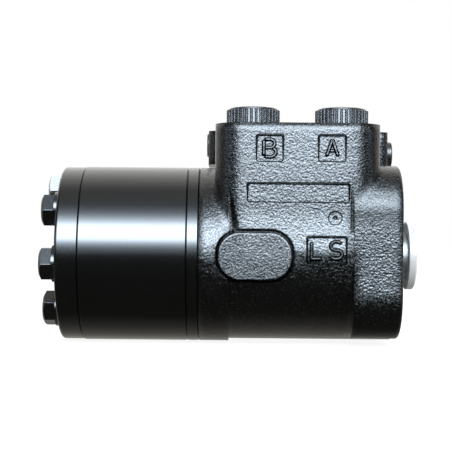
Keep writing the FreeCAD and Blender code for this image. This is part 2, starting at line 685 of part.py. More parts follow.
def valve_bores(body):
    """One bore in each ear, along the shaft axis, for a side valve."""
    for face, drop, forwards in (
            ("place.ear_front_face", "size.valve_drop_front", False),
            ("place.ear_rear_face", "size.valve_drop_rear", True)):
        face_circles(
            body, face, [("size.valve_offset", f"place.port_face - {drop}", "size.valve_bore")],
            "size.valve_depth", forwards)


# Spacer plate, gear set and cover

def make_spacer_plate():
    rear, front = "place.plate_rear", "place.housing_rear"
    edge = "size.flange_radius - size.joint_chamfer"
    body = turned_part("spacer_plate", [
        (rear, "size.plate_bore"), (front, "size.plate_bore"), (front, edge),
        (f"{front} - size.joint_chamfer", "size.flange_radius"),
        (f"{rear} + size.joint_chamfer", "size.flange_radius"), (rear, edge)])
    holes = [(a, b, "size.bolt_radius + size.bolt_clear") for a, b in bolt_places("place.bolt_circle")]
    holes += [(a, b, "size.timing_radius") for a, b in bolt_places("place.timing_circle", HALF_PITCH)]
    holes += [(*polar("place.dowel_circle", DOWEL_ANGLE), "size.dowel_radius")]
    face_circles(body, front, holes, "size.plate_thickness")
    face_groove(body, rear, "")
    return body


def make_gear_ring():
    rear, front = "place.ring_rear", "place.plate_rear"
    edge = "size.flange_radius - size.joint_chamfer"
    body = turned_part("gear_ring", [
        (rear, "place.pocket_radius"), (front, "place.pocket_radius"), (front, edge),
        (f"{front} - size.joint_chamfer", "size.flange_radius"),
        (f"{rear} + size.joint_chamfer", "size.flange_radius"), (rear, edge)])
    lobe = new_sketch(body, "YZ_Plane", front)
    add_circle(lobe, *polar("place.lobe_circle", "size.bolt_angle"), "size.lobe_radius")
    around(body, pad(body, lobe, "size.ring_width", backwards=True), "size.ring_lobes")
    hole = new_sketch(body, "YZ_Plane", front)
    add_circle(hole, *polar("place.bolt_circle", "size.bolt_angle"), "size.bolt_radius + size.bolt_clear")
    around(body, pocket(body, hole, "size.ring_width"), "size.ring_lobes")
    face_groove(body, rear, "")
    return body


def rotor_turn():
    """The rotor's own turn at rest, which puts its centre straight above the shaft axis."""
    lobes = value("size.ring_lobes")
    return (lobes * value("size.bolt_angle") + 90) / (lobes - 1)


STEPS_PER_LOBE = 14


def make_rotor():
    """Six-lobed rotor. Its flank is the path of the ring's lobe centres around the rotor,
    a circle with a small faster circle on it, moved inwards by the lobe radius."""
    lobes = int(value("size.ring_lobes"))
    far = value("place.lobe_circle")
    near = value("size.eccentricity")
    inset = value("size.lobe_radius") + value("size.mesh_gap")
    steps = STEPS_PER_LOBE * (lobes - 1)
    flank = []
    for step in range(steps):
        u = 2 * math.pi * step / steps
        path = V(
            0, far * math.cos(u) + near * math.cos(lobes * u),
            far * math.sin(u) + near * math.sin(lobes * u))
        along = V(
            0, -far * math.sin(u) - lobes * near * math.sin(lobes * u),
            far * math.cos(u) + lobes * near * math.cos(lobes * u)).normalize()
        flank.append(path - V(0, along.z, -along.y) * inset)
    curve = Part.BSplineCurve()
    curve.interpolate(Points=flank, PeriodicFlag=True)
    width = value("size.ring_width") - 2 * value("size.side_gap")
    solid = Part.Face(Part.Wire(curve.toShape())).extrude(V(width, 0, 0))
    spline = [
        V(0, value(across), value(up)) for across, up in toothed(
            int(value("size.spline_teeth")), "place.rotor_root", "place.rotor_tip",
            value("size.rotor_tooth"), value("size.rotor_tooth"))]
    bore = Part.Face(Part.makePolygon(spline + spline[:1])).extrude(V(width, 0, 0))
    rotor = doc.addObject("Part::Feature", "rotor")
    rotor.Label = "rotor"
    rotor.Shape = solid.cut(bore)
    rotor.Placement = FreeCAD.Placement(
        V(value("place.ring_rear") + value("size.side_gap"), 0, near),
        FreeCAD.Rotation(V(1, 0, 0), rotor_turn()))
    return rotor


def make_end_cover():
    rear, front = "place.cover_rear", "place.ring_rear"
    body = turned_part("end_cover", [
        (rear, "0"), (front, "0"), (front, "place.cover_radius - size.joint_chamfer"),
        (f"{front} - size.joint_chamfer", "place.cover_radius"), (rear, "place.cover_radius")])
    round_edges(body, lambda edge: on_plane(edge, 0, value(rear)), "size.cover_fillet")
    holes = [(a, b, "size.bolt_radius + size.bolt_clear") for a, b in bolt_places("place.bolt_circle")]
    face_circles(body, front, holes, "size.cover_thickness")
    return body


def along_x(solid_length, outline, start):
    """A prism along X from a flat outline in the YZ plane."""
    face = Part.Face(Part.makePolygon(outline + outline[:1]))
    return face.extrude(V(solid_length, 0, 0)).translated(V(start, 0, 0))


def hexagon(across_flats, centre_y, centre_z, turn):
    corner = across_flats / 2 / math.cos(30 * DEGREES)
    return [
        V(0, centre_y + corner * math.cos((turn + 60 * step) * DEGREES),
          centre_z + corner * math.sin((turn + 60 * step) * DEGREES))
        for step in range(6)]


# How far each bolt head happens to be turned, in degrees.
HEAD_TURNS = (30, 22, 51, 40, 15, 0, 5)


def one_bolt(index, reach):
    """A hexagon bolt: its head stands on its washer, its shank runs forward into the housing."""
    across, up = (value(part) for part in bolt_places("place.bolt_circle")[index])
    seat = value("place.cover_rear") - value("size.washer_thickness")
    height = value("size.head_height")
    half = value("size.head_across") / 2
    corner = half / math.cos(30 * DEGREES)
    axis = V(1, 0, 0)
    outline = hexagon(2 * half, across, up, HEAD_TURNS[index % len(HEAD_TURNS)])
    prism = along_x(height, outline, seat - height)
    dome_height = corner - half + value("size.head_chamfer")
    dome = Part.makeCone(
        corner - dome_height / math.tan(30 * DEGREES) + value("size.head_chamfer"),
        corner + value("size.head_chamfer"), dome_height, V(seat - height, across, up), axis)
    foot = V(seat - height + dome_height, across, up)
    body = Part.makeCylinder(corner + 1, height - dome_height, foot, axis)
    head = prism.common(dome.fuse(body))
    length = value("place.housing_rear") + reach - seat
    shank = Part.makeCylinder(value("size.bolt_radius"), length, V(seat, across, up), axis)
    return head.fuse(shank).removeSplitter()


def feature_of(label, shape):
    part = doc.addObject("Part::Feature", label)
    part.Label = label
    part.Shape = shape
    return part


def make_bolts():
    reach = value("size.bolt_reach")
    count = int(value("size.ring_lobes"))
    plain = [one_bolt(index, reach) for index in range(count) if index != PIN_BOLT]
    feature_of("cover_bolts", Part.makeCompound(plain))
    feature_of("cover_pin_bolt", one_bolt(PIN_BOLT, value("size.bolt_hole_depth")))
    washers = []
    for index in range(count):
        across, up = (value(part) for part in bolt_places("place.bolt_circle")[index])
        start = V(value("place.cover_rear") - value("size.washer_thickness"), across, up)
        thickness = value("size.washer_thickness")
        disc = Part.makeCylinder(value("size.washer_radius"), thickness, start, V(1, 0, 0))
        hole = Part.makeCylinder(value("size.bolt_radius + size.bolt_fit"), thickness, start, V(1, 0, 0))
        washers.append(disc.cut(hole))
    feature_of("bolt_washers", Part.makeCompound(washers))


# Valve set

def make_sleeve():
    front = "place.sleeve_front"
    rear = "place.housing_rear + size.sleeve_rear_gap"
    inner = "place.spool_radius"
    step = "-size.spring_place - size.retainer_width / 2"
    body = turned_part("sleeve", [
        (rear, inner), (front, inner), (front, "place.retainer_seat"), (step, "place.retainer_seat"),
        (step, "place.sleeve_outer"), (rear, "place.sleeve_outer")])
    pin = new_sketch(body, "XY_Plane")
    add_circle(pin, "-size.pin_place", "0", "size.pin_radius + size.pin_fit")
    pocket(body, pin, "3 * size.bore_radius", centred=True)
    cut_spring_slot(body)
    for along in (
            "place.gallery_left", "place.gallery_right", "place.port_rear",
            "place.timing_place + size.timing_radius"):
        row = new_sketch(body, "XY_Plane", turn="180 / size.meter_count")
        add_circle(row, f"-({along})", "0", "size.meter_hole")
        around(body, pocket(body, row, "size.bore_radius", forwards=True), "size.meter_count")
    return body


def cut_spring_slot(body, extra="0"):
    """The slot across a valve part that the leaf springs lie in, level with the axis."""
    slot = new_sketch(body, "XZ_Plane")
    half_width = f"size.spring_width / 2 + {extra} + size.slot_gap"
    half_height = f"size.spring_slot / 2 + {extra}"
    add_outline(slot, [
        (f"-size.spring_place - ({half_width})", f"-({half_height})"),
        (f"-size.spring_place + ({half_width})", f"-({half_height})"),
        (f"-size.spring_place + ({half_width})", half_height),
        (f"-size.spring_place - ({half_width})", half_height)])
    pocket(body, slot, "3 * size.bore_radius", centred=True)


# Column spline: width of a tooth top and of a groove bottom, as shares of the pitch.
SPLINE_TOOTH = 0.3
SPLINE_GROOVE = 0.35


def make_spool():
    rear = "place.spool_rear"
    shoulder = "place.sleeve_front"
    outer = "place.spool_outer"
    body = turned_part("spool", [
        (rear, "place.spool_bore"), ("-size.spline_depth + size.neck_proud", "place.spool_bore"),
        ("-size.spline_depth + size.neck_proud", "place.spline_tip"), ("size.neck_proud", "place.spline_tip"),
        ("size.neck_proud", "place.neck_radius - size.joint_chamfer"),
        ("size.neck_proud - size.joint_chamfer", "place.neck_radius"),
        (shoulder, "place.neck_radius"), (shoulder, outer), (rear, outer)])
    teeth = int(value("size.spline_teeth"))
    spline = new_sketch(body, "YZ_Plane", "size.neck_proud")
    add_outline(spline, toothed(
        teeth, "place.spline_root", "place.spline_tip - size.running_gap", SPLINE_TOOTH, SPLINE_GROOVE))
    pocket(body, spline, "size.spline_depth")
    slot = new_sketch(body, "XY_Plane")
    swing = "size.pin_radius + place.spool_radius * tan(size.valve_swing * 1 deg)"
    reach = f"{swing} + size.fork_gap"
    along = "size.pin_radius + size.fork_gap"
    add_rounded_box(
        slot, f"-size.pin_place - ({along})", f"-size.pin_place + {along}", f"-({reach})", reach,
        "size.pin_radius - size.fork_gap")
    pocket(body, slot, "3 * place.spool_radius", centred=True)
    cut_spring_slot(body, "size.slot_gap")
    flute = new_sketch(body, "XY_Plane", "place.spool_outer - size.flute_depth")
    add_rounded_box(
        flute, "-place.gallery_right - size.flute_reach", "-place.gallery_right + size.flute_reach",
        "-size.flute_width / 2", "size.flute_width / 2", "size.flute_width / 3")
    around(body, pocket(body, flute, "2 * size.flute_depth", forwards=True), "size.flute_count")
    return body


def make_cross_pin():
    half = "place.sleeve_outer - size.pin_end_gap"
    body = new_body("cross_pin")
    sketch = new_sketch(body, "XY_Plane")
    add_circle(sketch, "-size.pin_place", "0", "size.pin_radius")
    pad(body, sketch, f"2 * ({half})", centred=True)
    round_edges(
        body, lambda edge: on_plane(edge, 2, value(half)) or on_plane(edge, 2, -value(half)),
        "size.joint_chamfer", "PartDesign::Chamfer")


def leaf(level, bow):
    """One leaf spring: a strip across the sleeve, bowed to its middle by a height."""
    thick = value("size.spring_leaf")
    reach = value("place.spring_reach")
    width = value("size.spring_width")
    low = -value("size.spring_place") - width / 2
    if bow == 0:
        return Part.makeBox(width, 2 * reach, thick, V(low, -reach, level - thick / 2))
    edges = []
    for side in (-thick / 2, thick / 2):
        ends = [V(low, across, level + side) for across in (-reach, reach)]
        edges.append((ends[0], V(low, 0, level + bow + side), ends[1]))
    under, over = edges
    wire = Part.Wire([
        Part.Arc(*under).toShape(), Part.LineSegment(under[2], over[2]).toShape(),
        Part.Arc(over[2], over[1], over[0]).toShape(), Part.LineSegment(over[0], under[0]).toShape()])
    return Part.Face(wire).extrude(V(width, 0, 0))


def make_springs():
    """Two flat leaves back to back, and a bowed pair pressing on each side of them."""
    thick = value("size.spring_leaf")
    bow = value("size.spring_bow")
    gap = value("size.spring_gap")
    flat = [leaf(side * (thick + gap) / 2, 0) for side in (-1, 1)]
    bowed = []
    for side in (-1, 1):
        foot = side * (1.5 * thick + 2 * gap + bow)
        bowed.append(leaf(foot, -side * bow))
    feature_of("flat_springs", Part.makeCompound(flat))
    feature_of("bowed_springs", Part.makeCompound(bowed))


def make_retainer():
    turned_part("spring_retainer", ring_profile(
        "-size.spring_place - size.retainer_width / 2 + size.side_gap", "place.sleeve_front - size.side_gap",
        "place.retainer_seat + size.pin_fit", "place.retainer_radius"))


# Thrust bearing

def make_bearing():
    for label, rear, front in (
            ("thrust_race_front", "place.needle_front", "place.race_front"),
            ("thrust_race_rear", "place.race_rear", "place.needle_rear")):
        turned_part(label, ring_profile(
            rear, front, "place.race_inner", "place.race_outer", "size.race_chamfer"))
    half = "(size.needle_radius * size.cage_share / 2)"
    middle = "(place.needle_front + place.needle_rear) / 2"
    cage = turned_part("thrust_cage", ring_profile(
        f"{middle} - {half}", f"{middle} + {half}",
        "place.race_inner + size.cage_step", "place.race_outer - size.cage_step"))
    window = new_sketch(cage, "XY_Plane")
    long_way = "(size.needle_length / 2 + size.window_gap)"
    wide = "(size.needle_radius + size.window_gap)"
    add_outline(window, [
        (f"{middle} - 2 * {wide}", f"place.needle_circle - {long_way}"),
        (f"{middle} + 2 * {wide}", f"place.needle_circle - {long_way}"),
        (f"{middle} + 2 * {wide}", f"place.needle_circle + {long_way}"),
        (f"{middle} - 2 * {wide}", f"place.needle_circle + {long_way}")])
    around(cage, pocket(cage, window, f"2 * {wide}", centred=True), "size.needle_count")
    needles = []
    count = int(value("size.needle_count"))
    radius = value("size.needle_radius - size.needle_play")
    length = value("size.needle_length")
    inner = value("place.needle_circle") - length / 2
    for step in range(count):
        needle = Part.makeCylinder(radius, length, V(value(middle), inner, 0), V(0, 1, 0))
        needle.rotate(V(0, 0, 0), V(1, 0, 0), FULL_TURN * step / count)
        needles.append(needle)
    feature_of("thrust_needles", Part.makeCompound(needles))


# Seals

def make_seals():
    neck = "place.neck_radius + size.seal_gap"
    back = "-size.seal_pocket_depth"
    front = "-size.dust_pocket_depth - size.seal_space"
    behind = "place.neck_radius + size.seal_foot"
    free = "place.neck_radius + size.seal_flex"
    turned_part("shaft_seal", [
        (back, behind), (f"{back} + size.seal_foot", behind), (f"{back} + 2 * size.seal_foot", neck),
        (f"{back} + 2 * size.seal_foot + size.seal_lip", neck), (f"{front} - size.seal_foot", free),
        (front, free), (front, "place.seal_pocket"), (back, "place.seal_pocket")])
    face = "-size.dust_front_gap"
    turned_part("dust_seal", [
        ("-size.dust_pocket_depth", free), (f"{face} - size.seal_flex", neck),
        (f"{face} - size.seal_flex + size.seal_lip", neck), (face, free),
        (face, "place.dust_pocket"), ("-size.dust_pocket_depth", "place.dust_pocket")])
    low = "place.ring_groove - size.ring_groove_width / 2 + size.ring_seal_gap"
    high = "place.ring_groove + size.ring_groove_width / 2 - size.ring_seal_gap"
    for label, joint in (
            ("seal_ring_housing", "place.housing_rear"), ("seal_ring_plate", "place.plate_rear"),
            ("seal_ring_cover", "place.ring_rear")):
        turned_part(label, ring_profile(
            joint, f"{joint} + size.ring_groove_depth", low, high, "size.ring_seal_round"))


# Cardan drive

def cardan_tilt():
    """Lean of the cardan shaft, from the cross pin on the axis to the rotor's centre."""
    return math.atan2(value("size.eccentricity"), value("place.crown_place - size.pin_place"))


def make_cardan():
    """Modelled straight along -X from the pin centre, then leaned up to the rotor's centre."""
    body = new_body("cardan_shaft")
    crown = "place.crown_place - size.pin_place"
    tip = f"-({crown}) - size.crown_length / 2"
    start = f"-({crown}) + size.crown_length / 2"
    revolve(body, [
        (tip, "0"), ("size.fork_front", "0"), ("size.fork_front", "place.fork_radius - size.fork_cone"),
        ("size.fork_front - size.fork_cone", "place.fork_radius"), ("-size.fork_rear", "place.fork_radius"),
        ("-size.fork_rear - size.fork_slope", "place.cardan_radius"), (start, "place.cardan_radius"),
        (start, "size.crown_root"), (tip, "size.crown_root")])
    crown_sketch = new_sketch(body, "YZ_Plane", start)
    pitch = FULL_TURN / value("size.spline_teeth")
    add_outline(crown_sketch, toothed(
        int(value("size.spline_teeth")), "size.crown_root - size.running_gap", "size.crown_tip",
        value("size.crown_tooth"), value("size.crown_tooth"), phase=f"{rotor_turn() + pitch / 2:.6f}"))
    pad(body, crown_sketch, "size.crown_length", backwards=True)
    slot = new_sketch(body, "XY_Plane")
    half = "size.pin_radius + size.fork_gap"
    bottom = "-size.pin_radius - 2 * size.fork_gap"
    add_outline(slot, [
        (bottom, f"-({half})"), ("size.fork_front + 1", f"-({half})"),
        ("size.fork_front + 1", half), (bottom, half)])
    pocket(body, slot, "3 * place.fork_radius", centred=True)
    body.Placement = FreeCAD.Placement(
        V(-value("size.pin_place"), 0, 0), FreeCAD.Rotation(V(0, 1, 0), cardan_tilt() / DEGREES))


def make_drive_spacer():
    """Loose disc that keeps the cardan shaft forward; the rotor's bore carries it around."""
    body = turned_part("drive_spacer", ring_profile(
        "place.ring_rear + size.side_gap", "-place.crown_place - size.crown_length / 2 - size.spacer_end_gap",
        "0", "place.spacer_radius"))
    body.setExpression("Placement.Base.z", "size.eccentricity")


# Locating pin and check valve

def make_locating_pin():
    across, up = polar("place.dowel_circle", DOWEL_ANGLE)
    body = new_body("locating_pin")
    sketch = new_sketch(body, "YZ_Plane", "place.housing_rear - size.dowel_length / 2 + size.dowel_end_gap")
    add_circle(sketch, across, up, "size.dowel_radius - size.dowel_fit")
    pad(body, sketch, "size.dowel_length - 2 * size.dowel_end_gap")


def move_to(body, along, across, up):
    """Tie a body's place to expressions."""
    for axis, expression in zip("xyz", (along, across, up)):
        body.setExpression(f"Placement.Base.{axis}", str(expression))


def make_check_valve():
    """Seat pressed into the end of the deep bolt hole, and the ball that closes it."""
    across, up = bolt_places("place.bolt_circle")[PIN_BOLT]
    end = (
        "place.housing_rear + size.bolt_hole_depth + size.check_seat_length"
        " + 2 * size.check_radius + size.check_travel")
    seat = new_body("check_seat")
    revolve(seat, ring_profile(
        "-size.check_seat_length", "0", "size.check_seat_hole", "size.bolt_radius + size.bolt_fit / 2"))
    move_to(seat, end, across, up)
    drop = "sqrt(size.check_radius * size.check_radius - size.check_seat_hole * size.check_seat_hole)"
    ball = doc.addObject("Part::Sphere", "check_ball")
    ball.Label = "check_ball"
    ball.setExpression("Radius", "size.check_radius")
    move_to(ball, f"{end} - size.check_seat_length - {drop} - size.running_gap", across, up)


# Side valves in the ears

def make_side_valve(name, inwards):
    """A plug, a spring, a poppet and its seat, in line in one ear; inwards is -1 or 1 along X."""
    fit = "size.valve_bore - size.valve_fit"
    head = f"size.valve_head_{name}"
    proud = f"size.valve_proud_{name}"
    plug = new_body(f"{name}_valve_plug")
    revolve(plug, [
        (f"-{proud}", "0"), ("size.valve_plug_length", "0"), ("size.valve_plug_length", fit), ("0", fit),
        ("0", head), (f"size.valve_chamfer - {proud}", head), (f"-{proud}", f"{head} - size.valve_chamfer")])
    key = new_sketch(plug, "YZ_Plane", f"-{proud}")
    add_outline(key, [polar("size.valve_key / 2 / cos(30 deg)", f"{30 + 60 * step}") for step in range(6)])
    pocket(plug, key, "size.valve_key_depth", forwards=True)
    seat = new_body(f"{name}_valve_seat")
    revolve(seat, ring_profile(
        "size.valve_depth - size.valve_seat_length", "size.valve_depth", "size.valve_seat_hole", fit))
    poppet = new_body(f"{name}_valve_poppet")
    back = "size.valve_depth - size.valve_seat_length - size.poppet_length"
    nose = "size.valve_depth - size.valve_seat_length - size.running_gap"
    revolve(poppet, [
        (back, "0"), (f"{nose} + size.poppet_nose", "0"),
        (nose, "size.valve_seat_hole - size.poppet_nose / 4"), (nose, fit), (back, fit)])
    spring = make_coil(f"{name}_valve_spring", back)
    turn = FreeCAD.Rotation(V(0, 0, 1), 0 if inwards > 0 else 180)
    seated = FreeCAD.Placement(V(
        value(f"place.ear_{name}_face"), value("size.valve_offset"),
        value(f"place.port_face - size.valve_drop_{name}")), turn)
    for item in (plug, seat, poppet, spring):
        item.Placement = seated.multiply(item.Placement)


def make_coil(label, back):
    """Coil spring of six-sided wire, along X between a plug and its poppet."""
    wire = value("size.coil_wire")
    low = value("size.valve_plug_length + size.running_gap") + wire
    high = value(f"{back} - size.running_gap") - wire
    turns = value("size.coil_turns")
    helix = Part.makeHelix((high - low) / turns, high - low, value("size.coil_radius"))
    start = helix.Edges[0].firstVertex().Point
    section = [
        start + V(wire * math.cos(60 * step * DEGREES), 0, wire * math.sin(60 * step * DEGREES))
        for step in range(6)]
    coil = Part.Wire(helix.Edges).makePipeShell([Part.makePolygon(section + section[:1])], True, True)
    coil.rotate(V(0, 0, 0), V(0, 1, 0), 90)
    coil.translate(V(low, 0, 0))
    return feature_of(label, coil)


# Shipping plugs

def make_port_plug(label, along):
    """Knurled plug: a tapered ribbed head on the port face, and a hollow stem in the port."""
    stem = "size.port_radius - size.plug_stem_gap"
    hollow = "size.port_radius - size.plug_stem_wall"
    top = "size.plug_radius - size.plug_taper"
    bend = f"{EDGE_BEND} * size.plug_edge"
    plug = new_body(label)
    revolve(plug, [
        ("0", "size.plug_height"), (f"{top} - size.plug_edge", "size.plug_height"),
        (f"{top} - {bend}", f"size.plug_height - {bend}"), (top, "size.plug_height - size.plug_edge"),
        ("size.plug_radius", "0"), (stem, "0"), (stem, "-size.plug_stem"), (hollow, "-size.plug_stem"),
        (hollow, "size.plug_roof"), ("0", "size.plug_roof")], upright=True)
    rib = new_sketch(plug, "XY_Plane", "size.plug_rib_start")
    add_circle(rib, f"{top} + size.plug_taper / 2", "0", "size.plug_rib")
    around(plug, pad(plug, rib, "size.plug_height - size.plug_edge"), "size.plug_ribs", "Z_Axis")
    move_to(plug, f"-({along})", "-size.port_offset", "place.port_face")


# Where the straight run inside a rounded rim bends, as a share of the rim.
EDGE_BEND = 0.3


def make_port_plugs():
    make_port_plug("port_plug_front", "size.port_front")
    make_port_plug("port_plug_rear", "place.port_rear")
    seals = []
    depth = value("size.spot_depth")
    for along in ("size.port_front", "place.port_rear"):
        low = V(-value(along), -value("size.port_offset"), value("place.port_face") - depth)
        outer = Part.makeCylinder(value("size.spot_radius - size.plug_seal_gap"), depth, low)
        inner = Part.makeCylinder(value("size.port_radius"), depth, low)
        seals.append(outer.cut(inner))
    feature_of("plug_seals", Part.makeCompound(seals))


def make_dust_cap():
    """Dust plug pushed into the column spline: a disc against the neck, and a hollow stem."""
    stem = "place.spline_tip - size.cap_stem_gap"
    hollow = f"{stem} - size.cap_wall"
    end = "size.neck_proud - size.cap_stem"
    front = "size.neck_proud + size.cap_thickness"
    turned_part("dust_cap", [
        (end, hollow), (f"{front} - size.cap_wall", hollow), (f"{front} - size.cap_wall", "0"), (front, "0"),
        (front, "size.cap_radius - size.cap_edge"), (f"{front} - size.cap_edge", "size.cap_radius"),
        ("size.neck_proud", "size.cap_radius"), ("size.neck_proud", stem), (end, stem)])


def make_all():
    make_housing()
    make_spacer_plate()
    make_gear_ring()
    make_rotor()
    make_end_cover()
    make_bolts()
    make_sleeve()
    make_spool()
    make_cross_pin()
    make_springs()
    make_retainer()
    make_bearing()
    make_seals()
    make_cardan()
    make_drive_spacer()
    make_locating_pin()
    make_check_valve()
    make_side_valve("front", -1)
    make_side_valve("rear", 1)
    make_port_plugs()
    make_dust_cap()


def write_parts():
    """Check every object, then write each part to its own file."""
    doc.recompute()
    for item in doc.Objects:
        if "Invalid" in item.State or "Error" in item.State:
            raise ValueError(f"{item.Label}: {item.State}")
    kinds = ("PartDesign::Body", "Part::Feature", "Part::Sphere")
    parts = [item for item in doc.Objects if item.TypeId in kinds]
    for item in parts:
        if item.Shape.isNull() or not item.Shape.isValid():
            raise ValueError(f"{item.Label}: bad shape")
    os.makedirs("parts", exist_ok=True)
    for item in parts:
        item.Shape.exportStep(f"parts/{item.Label}.step")
        print(f"{item.Label}: {len(item.Shape.Solids)} solids, {item.Shape.Volume / 1000:.2f} cm3")


make_all()
write_parts()
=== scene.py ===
"""Looks of the orbital steering unit: finishes for every part of the frame, the cast lettering
and the fine forms that the solids leave out, the studio around it and the camera.

Lengths are metres, in the frame of the unit: +X out of the column face, +Z up out of the port
face, -Y towards the camera. Values in millimetres say so, and are multiplied by MM where used.
"""
import math
import bmesh
import bpy
import numpy as np
from mathutils import Matrix, Vector


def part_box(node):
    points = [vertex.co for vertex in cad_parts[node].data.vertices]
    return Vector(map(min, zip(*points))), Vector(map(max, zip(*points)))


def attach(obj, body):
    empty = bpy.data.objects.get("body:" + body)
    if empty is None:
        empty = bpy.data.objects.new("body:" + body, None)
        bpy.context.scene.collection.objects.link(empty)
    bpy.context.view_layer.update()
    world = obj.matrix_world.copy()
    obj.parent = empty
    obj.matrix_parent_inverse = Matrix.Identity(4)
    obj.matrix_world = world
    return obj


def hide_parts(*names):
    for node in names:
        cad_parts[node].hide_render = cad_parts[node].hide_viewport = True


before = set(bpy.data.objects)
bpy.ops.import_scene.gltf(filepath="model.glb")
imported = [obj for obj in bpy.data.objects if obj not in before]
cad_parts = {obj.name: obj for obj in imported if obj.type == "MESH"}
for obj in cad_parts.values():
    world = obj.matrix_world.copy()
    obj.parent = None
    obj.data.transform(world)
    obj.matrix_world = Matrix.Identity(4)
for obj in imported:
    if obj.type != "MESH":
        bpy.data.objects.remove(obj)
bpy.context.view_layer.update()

MM = 0.001
TURN = 2 * math.pi

# Places on the unit: the underside and the port face are read from the frame.
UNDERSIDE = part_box("housing")[0].z
PORT_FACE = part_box("plug_seals")[1].z
FLANK = 45.5 * MM
WAIST = 45.3 * MM


# Camera, fitted to the joints and edges of the unit in the photograph

CAMERA_PLACE = Vector((-89.2, -658.4, 9.9)) * MM
CAMERA_YAW = -0.001
CAMERA_PITCH = 0.008
CAMERA_ROLL = 0.009
FRAME_PIXELS = 452
FOCAL_PIXELS = 1215.3
SENSOR = 36
CLIP_START = 0.01


def make_camera():
    """A level camera, turned by small yaw, pitch and roll angles, in that order."""
    data = bpy.data.cameras.new("camera")
    data.sensor_width = SENSOR
    data.lens = SENSOR * FOCAL_PIXELS / FRAME_PIXELS
    data.clip_start = CLIP_START
    ahead = Vector((
        math.sin(CAMERA_YAW) * math.cos(CAMERA_PITCH), math.cos(CAMERA_YAW) * math.cos(CAMERA_PITCH),
        math.sin(CAMERA_PITCH)))
    level = Vector((math.cos(CAMERA_YAW), -math.sin(CAMERA_YAW), 0))
    above = level.cross(ahead)
    right = level * math.cos(CAMERA_ROLL) + above * math.sin(CAMERA_ROLL)
    up = above * math.cos(CAMERA_ROLL) - level * math.sin(CAMERA_ROLL)
    camera = bpy.data.objects.new("camera", data)
    turned = Matrix((right, up, -ahead)).transposed().to_4x4()
    camera.matrix_world = Matrix.Translation(CAMERA_PLACE) @ turned
    bpy.context.scene.collection.objects.link(camera)
    bpy.context.scene.camera = camera


# Shader building blocks

class Nodes:
    """Short calls for the nodes of one tree."""

    def __init__(self, tree):
        self.tree = tree

    def add(self, kind, links=None, **settings):
        node = self.tree.nodes.new(kind)
        for name, setting in settings.items():
            setattr(node, name, setting)
        for socket, source in (links or {}).items():
            self.feed(node, socket, source)
        return node

    def feed(self, node, socket, source):
        """Link a socket to another node's output, or set its plain value."""
        target = node.inputs[socket]
        if isinstance(source, bpy.types.NodeSocket):
            self.tree.links.new(source, target)
        else:
            target.default_value = source

    def math(self, operation, first, second=0.0, third=0.0):
        return self.add("ShaderNodeMath", {0: first, 1: second, 2: third}, operation=operation).outputs[0]

    def noise(self, vector, scale, detail=2.0, roughness=0.5):
        return self.add("ShaderNodeTexNoise", {
            "Vector": vector, "Scale": scale, "Detail": detail, "Roughness": roughness}).outputs[0]

    def span(self, value, low, high, out_low=0.0, out_high=1.0, **settings):
        """The value carried from low..high to out_low..out_high, and held at its ends."""
        return self.add("ShaderNodeMapRange", {
            "Value": value, "From Min": low, "From Max": high,
            "To Min": out_low, "To Max": out_high}, **settings).outputs[0]

    def band(self, value, rise, fall):
        """One between the rise and the fall, which are (start, end) pairs in millimetres."""
        up = self.span(value, rise[0] * MM, rise[1] * MM)
        down = self.span(value, fall[0] * MM, fall[1] * MM, 1.0, 0.0)
        return self.math("MULTIPLY", up, down)

    def blend(self, factor, first, second):
        """A colour between two; the Mix node has its colours at inputs 6 and 7 and at output 2."""
        node = self.add("ShaderNodeMix", data_type="RGBA")
        self.feed(node, 0, factor)
        self.feed(node, 6, first)
        self.feed(node, 7, second)
        return node.outputs[2]

    def parts(self, vector):
        return self.add("ShaderNodeSeparateXYZ", {0: vector}).outputs

    def vector(self, parts):
        return self.add("ShaderNodeCombineXYZ", parts).outputs[0]


def new_group(name, inputs, outputs):
    """A node group with a place, named float inputs and named outputs, and its building calls."""
    tree = bpy.data.node_groups.new(name, "ShaderNodeTree")
    tree.interface.new_socket("Place", in_out="INPUT", socket_type="NodeSocketVector")
    for label in inputs:
        tree.interface.new_socket(label, in_out="INPUT", socket_type="NodeSocketFloat")
    for label in outputs:
        tree.interface.new_socket(label, in_out="OUTPUT", socket_type="NodeSocketFloat")
    nodes = Nodes(tree)
    return nodes, nodes.add("NodeGroupInput").outputs, nodes.add("NodeGroupOutput")


# Cast skin: scales are noise waves per metre, spans are thresholds of the noise.
WARP_SCALE = 420.0
WARP_SHARE = 0.6
SWELL_SCALE = 95.0
PEBBLE_SOFTNESS = 0.4
GRIT_FINENESS = 1.9
GRIT_SPAN = (0.6, 0.72)
SPECKLE_SPAN = (0.42, 0.62)


def cast_skin_group():
    """Sand-cast skin: rounded pebbles of a given grain, sparse sharp grains and slow swells."""
    nodes, given, out = new_group("cast_skin", ("Grain", "Grit", "Swell"), ("Height", "Speckle"))
    place = given["Place"]
    warp = nodes.noise(place, WARP_SCALE, detail=1.0)
    pebbles = nodes.noise(place, given["Grain"], detail=1.0, roughness=PEBBLE_SOFTNESS)
    grains = nodes.noise(place, nodes.math("MULTIPLY", given["Grain"], GRIT_FINENESS), detail=0.0)
    swells = nodes.noise(place, SWELL_SCALE)
    height = nodes.math("MULTIPLY_ADD", nodes.span(grains, *GRIT_SPAN), given["Grit"], pebbles)
    height = nodes.math("MULTIPLY_ADD", warp, WARP_SHARE, height)
    height = nodes.math("MULTIPLY_ADD", swells, given["Swell"], height)
    nodes.feed(out, "Height", height)
    nodes.feed(out, "Speckle", nodes.span(pebbles, *SPECKLE_SPAN))
    return nodes.tree


WAVER_SCALE = 40.0
SHADE_SPAN = (0.3, 0.7)


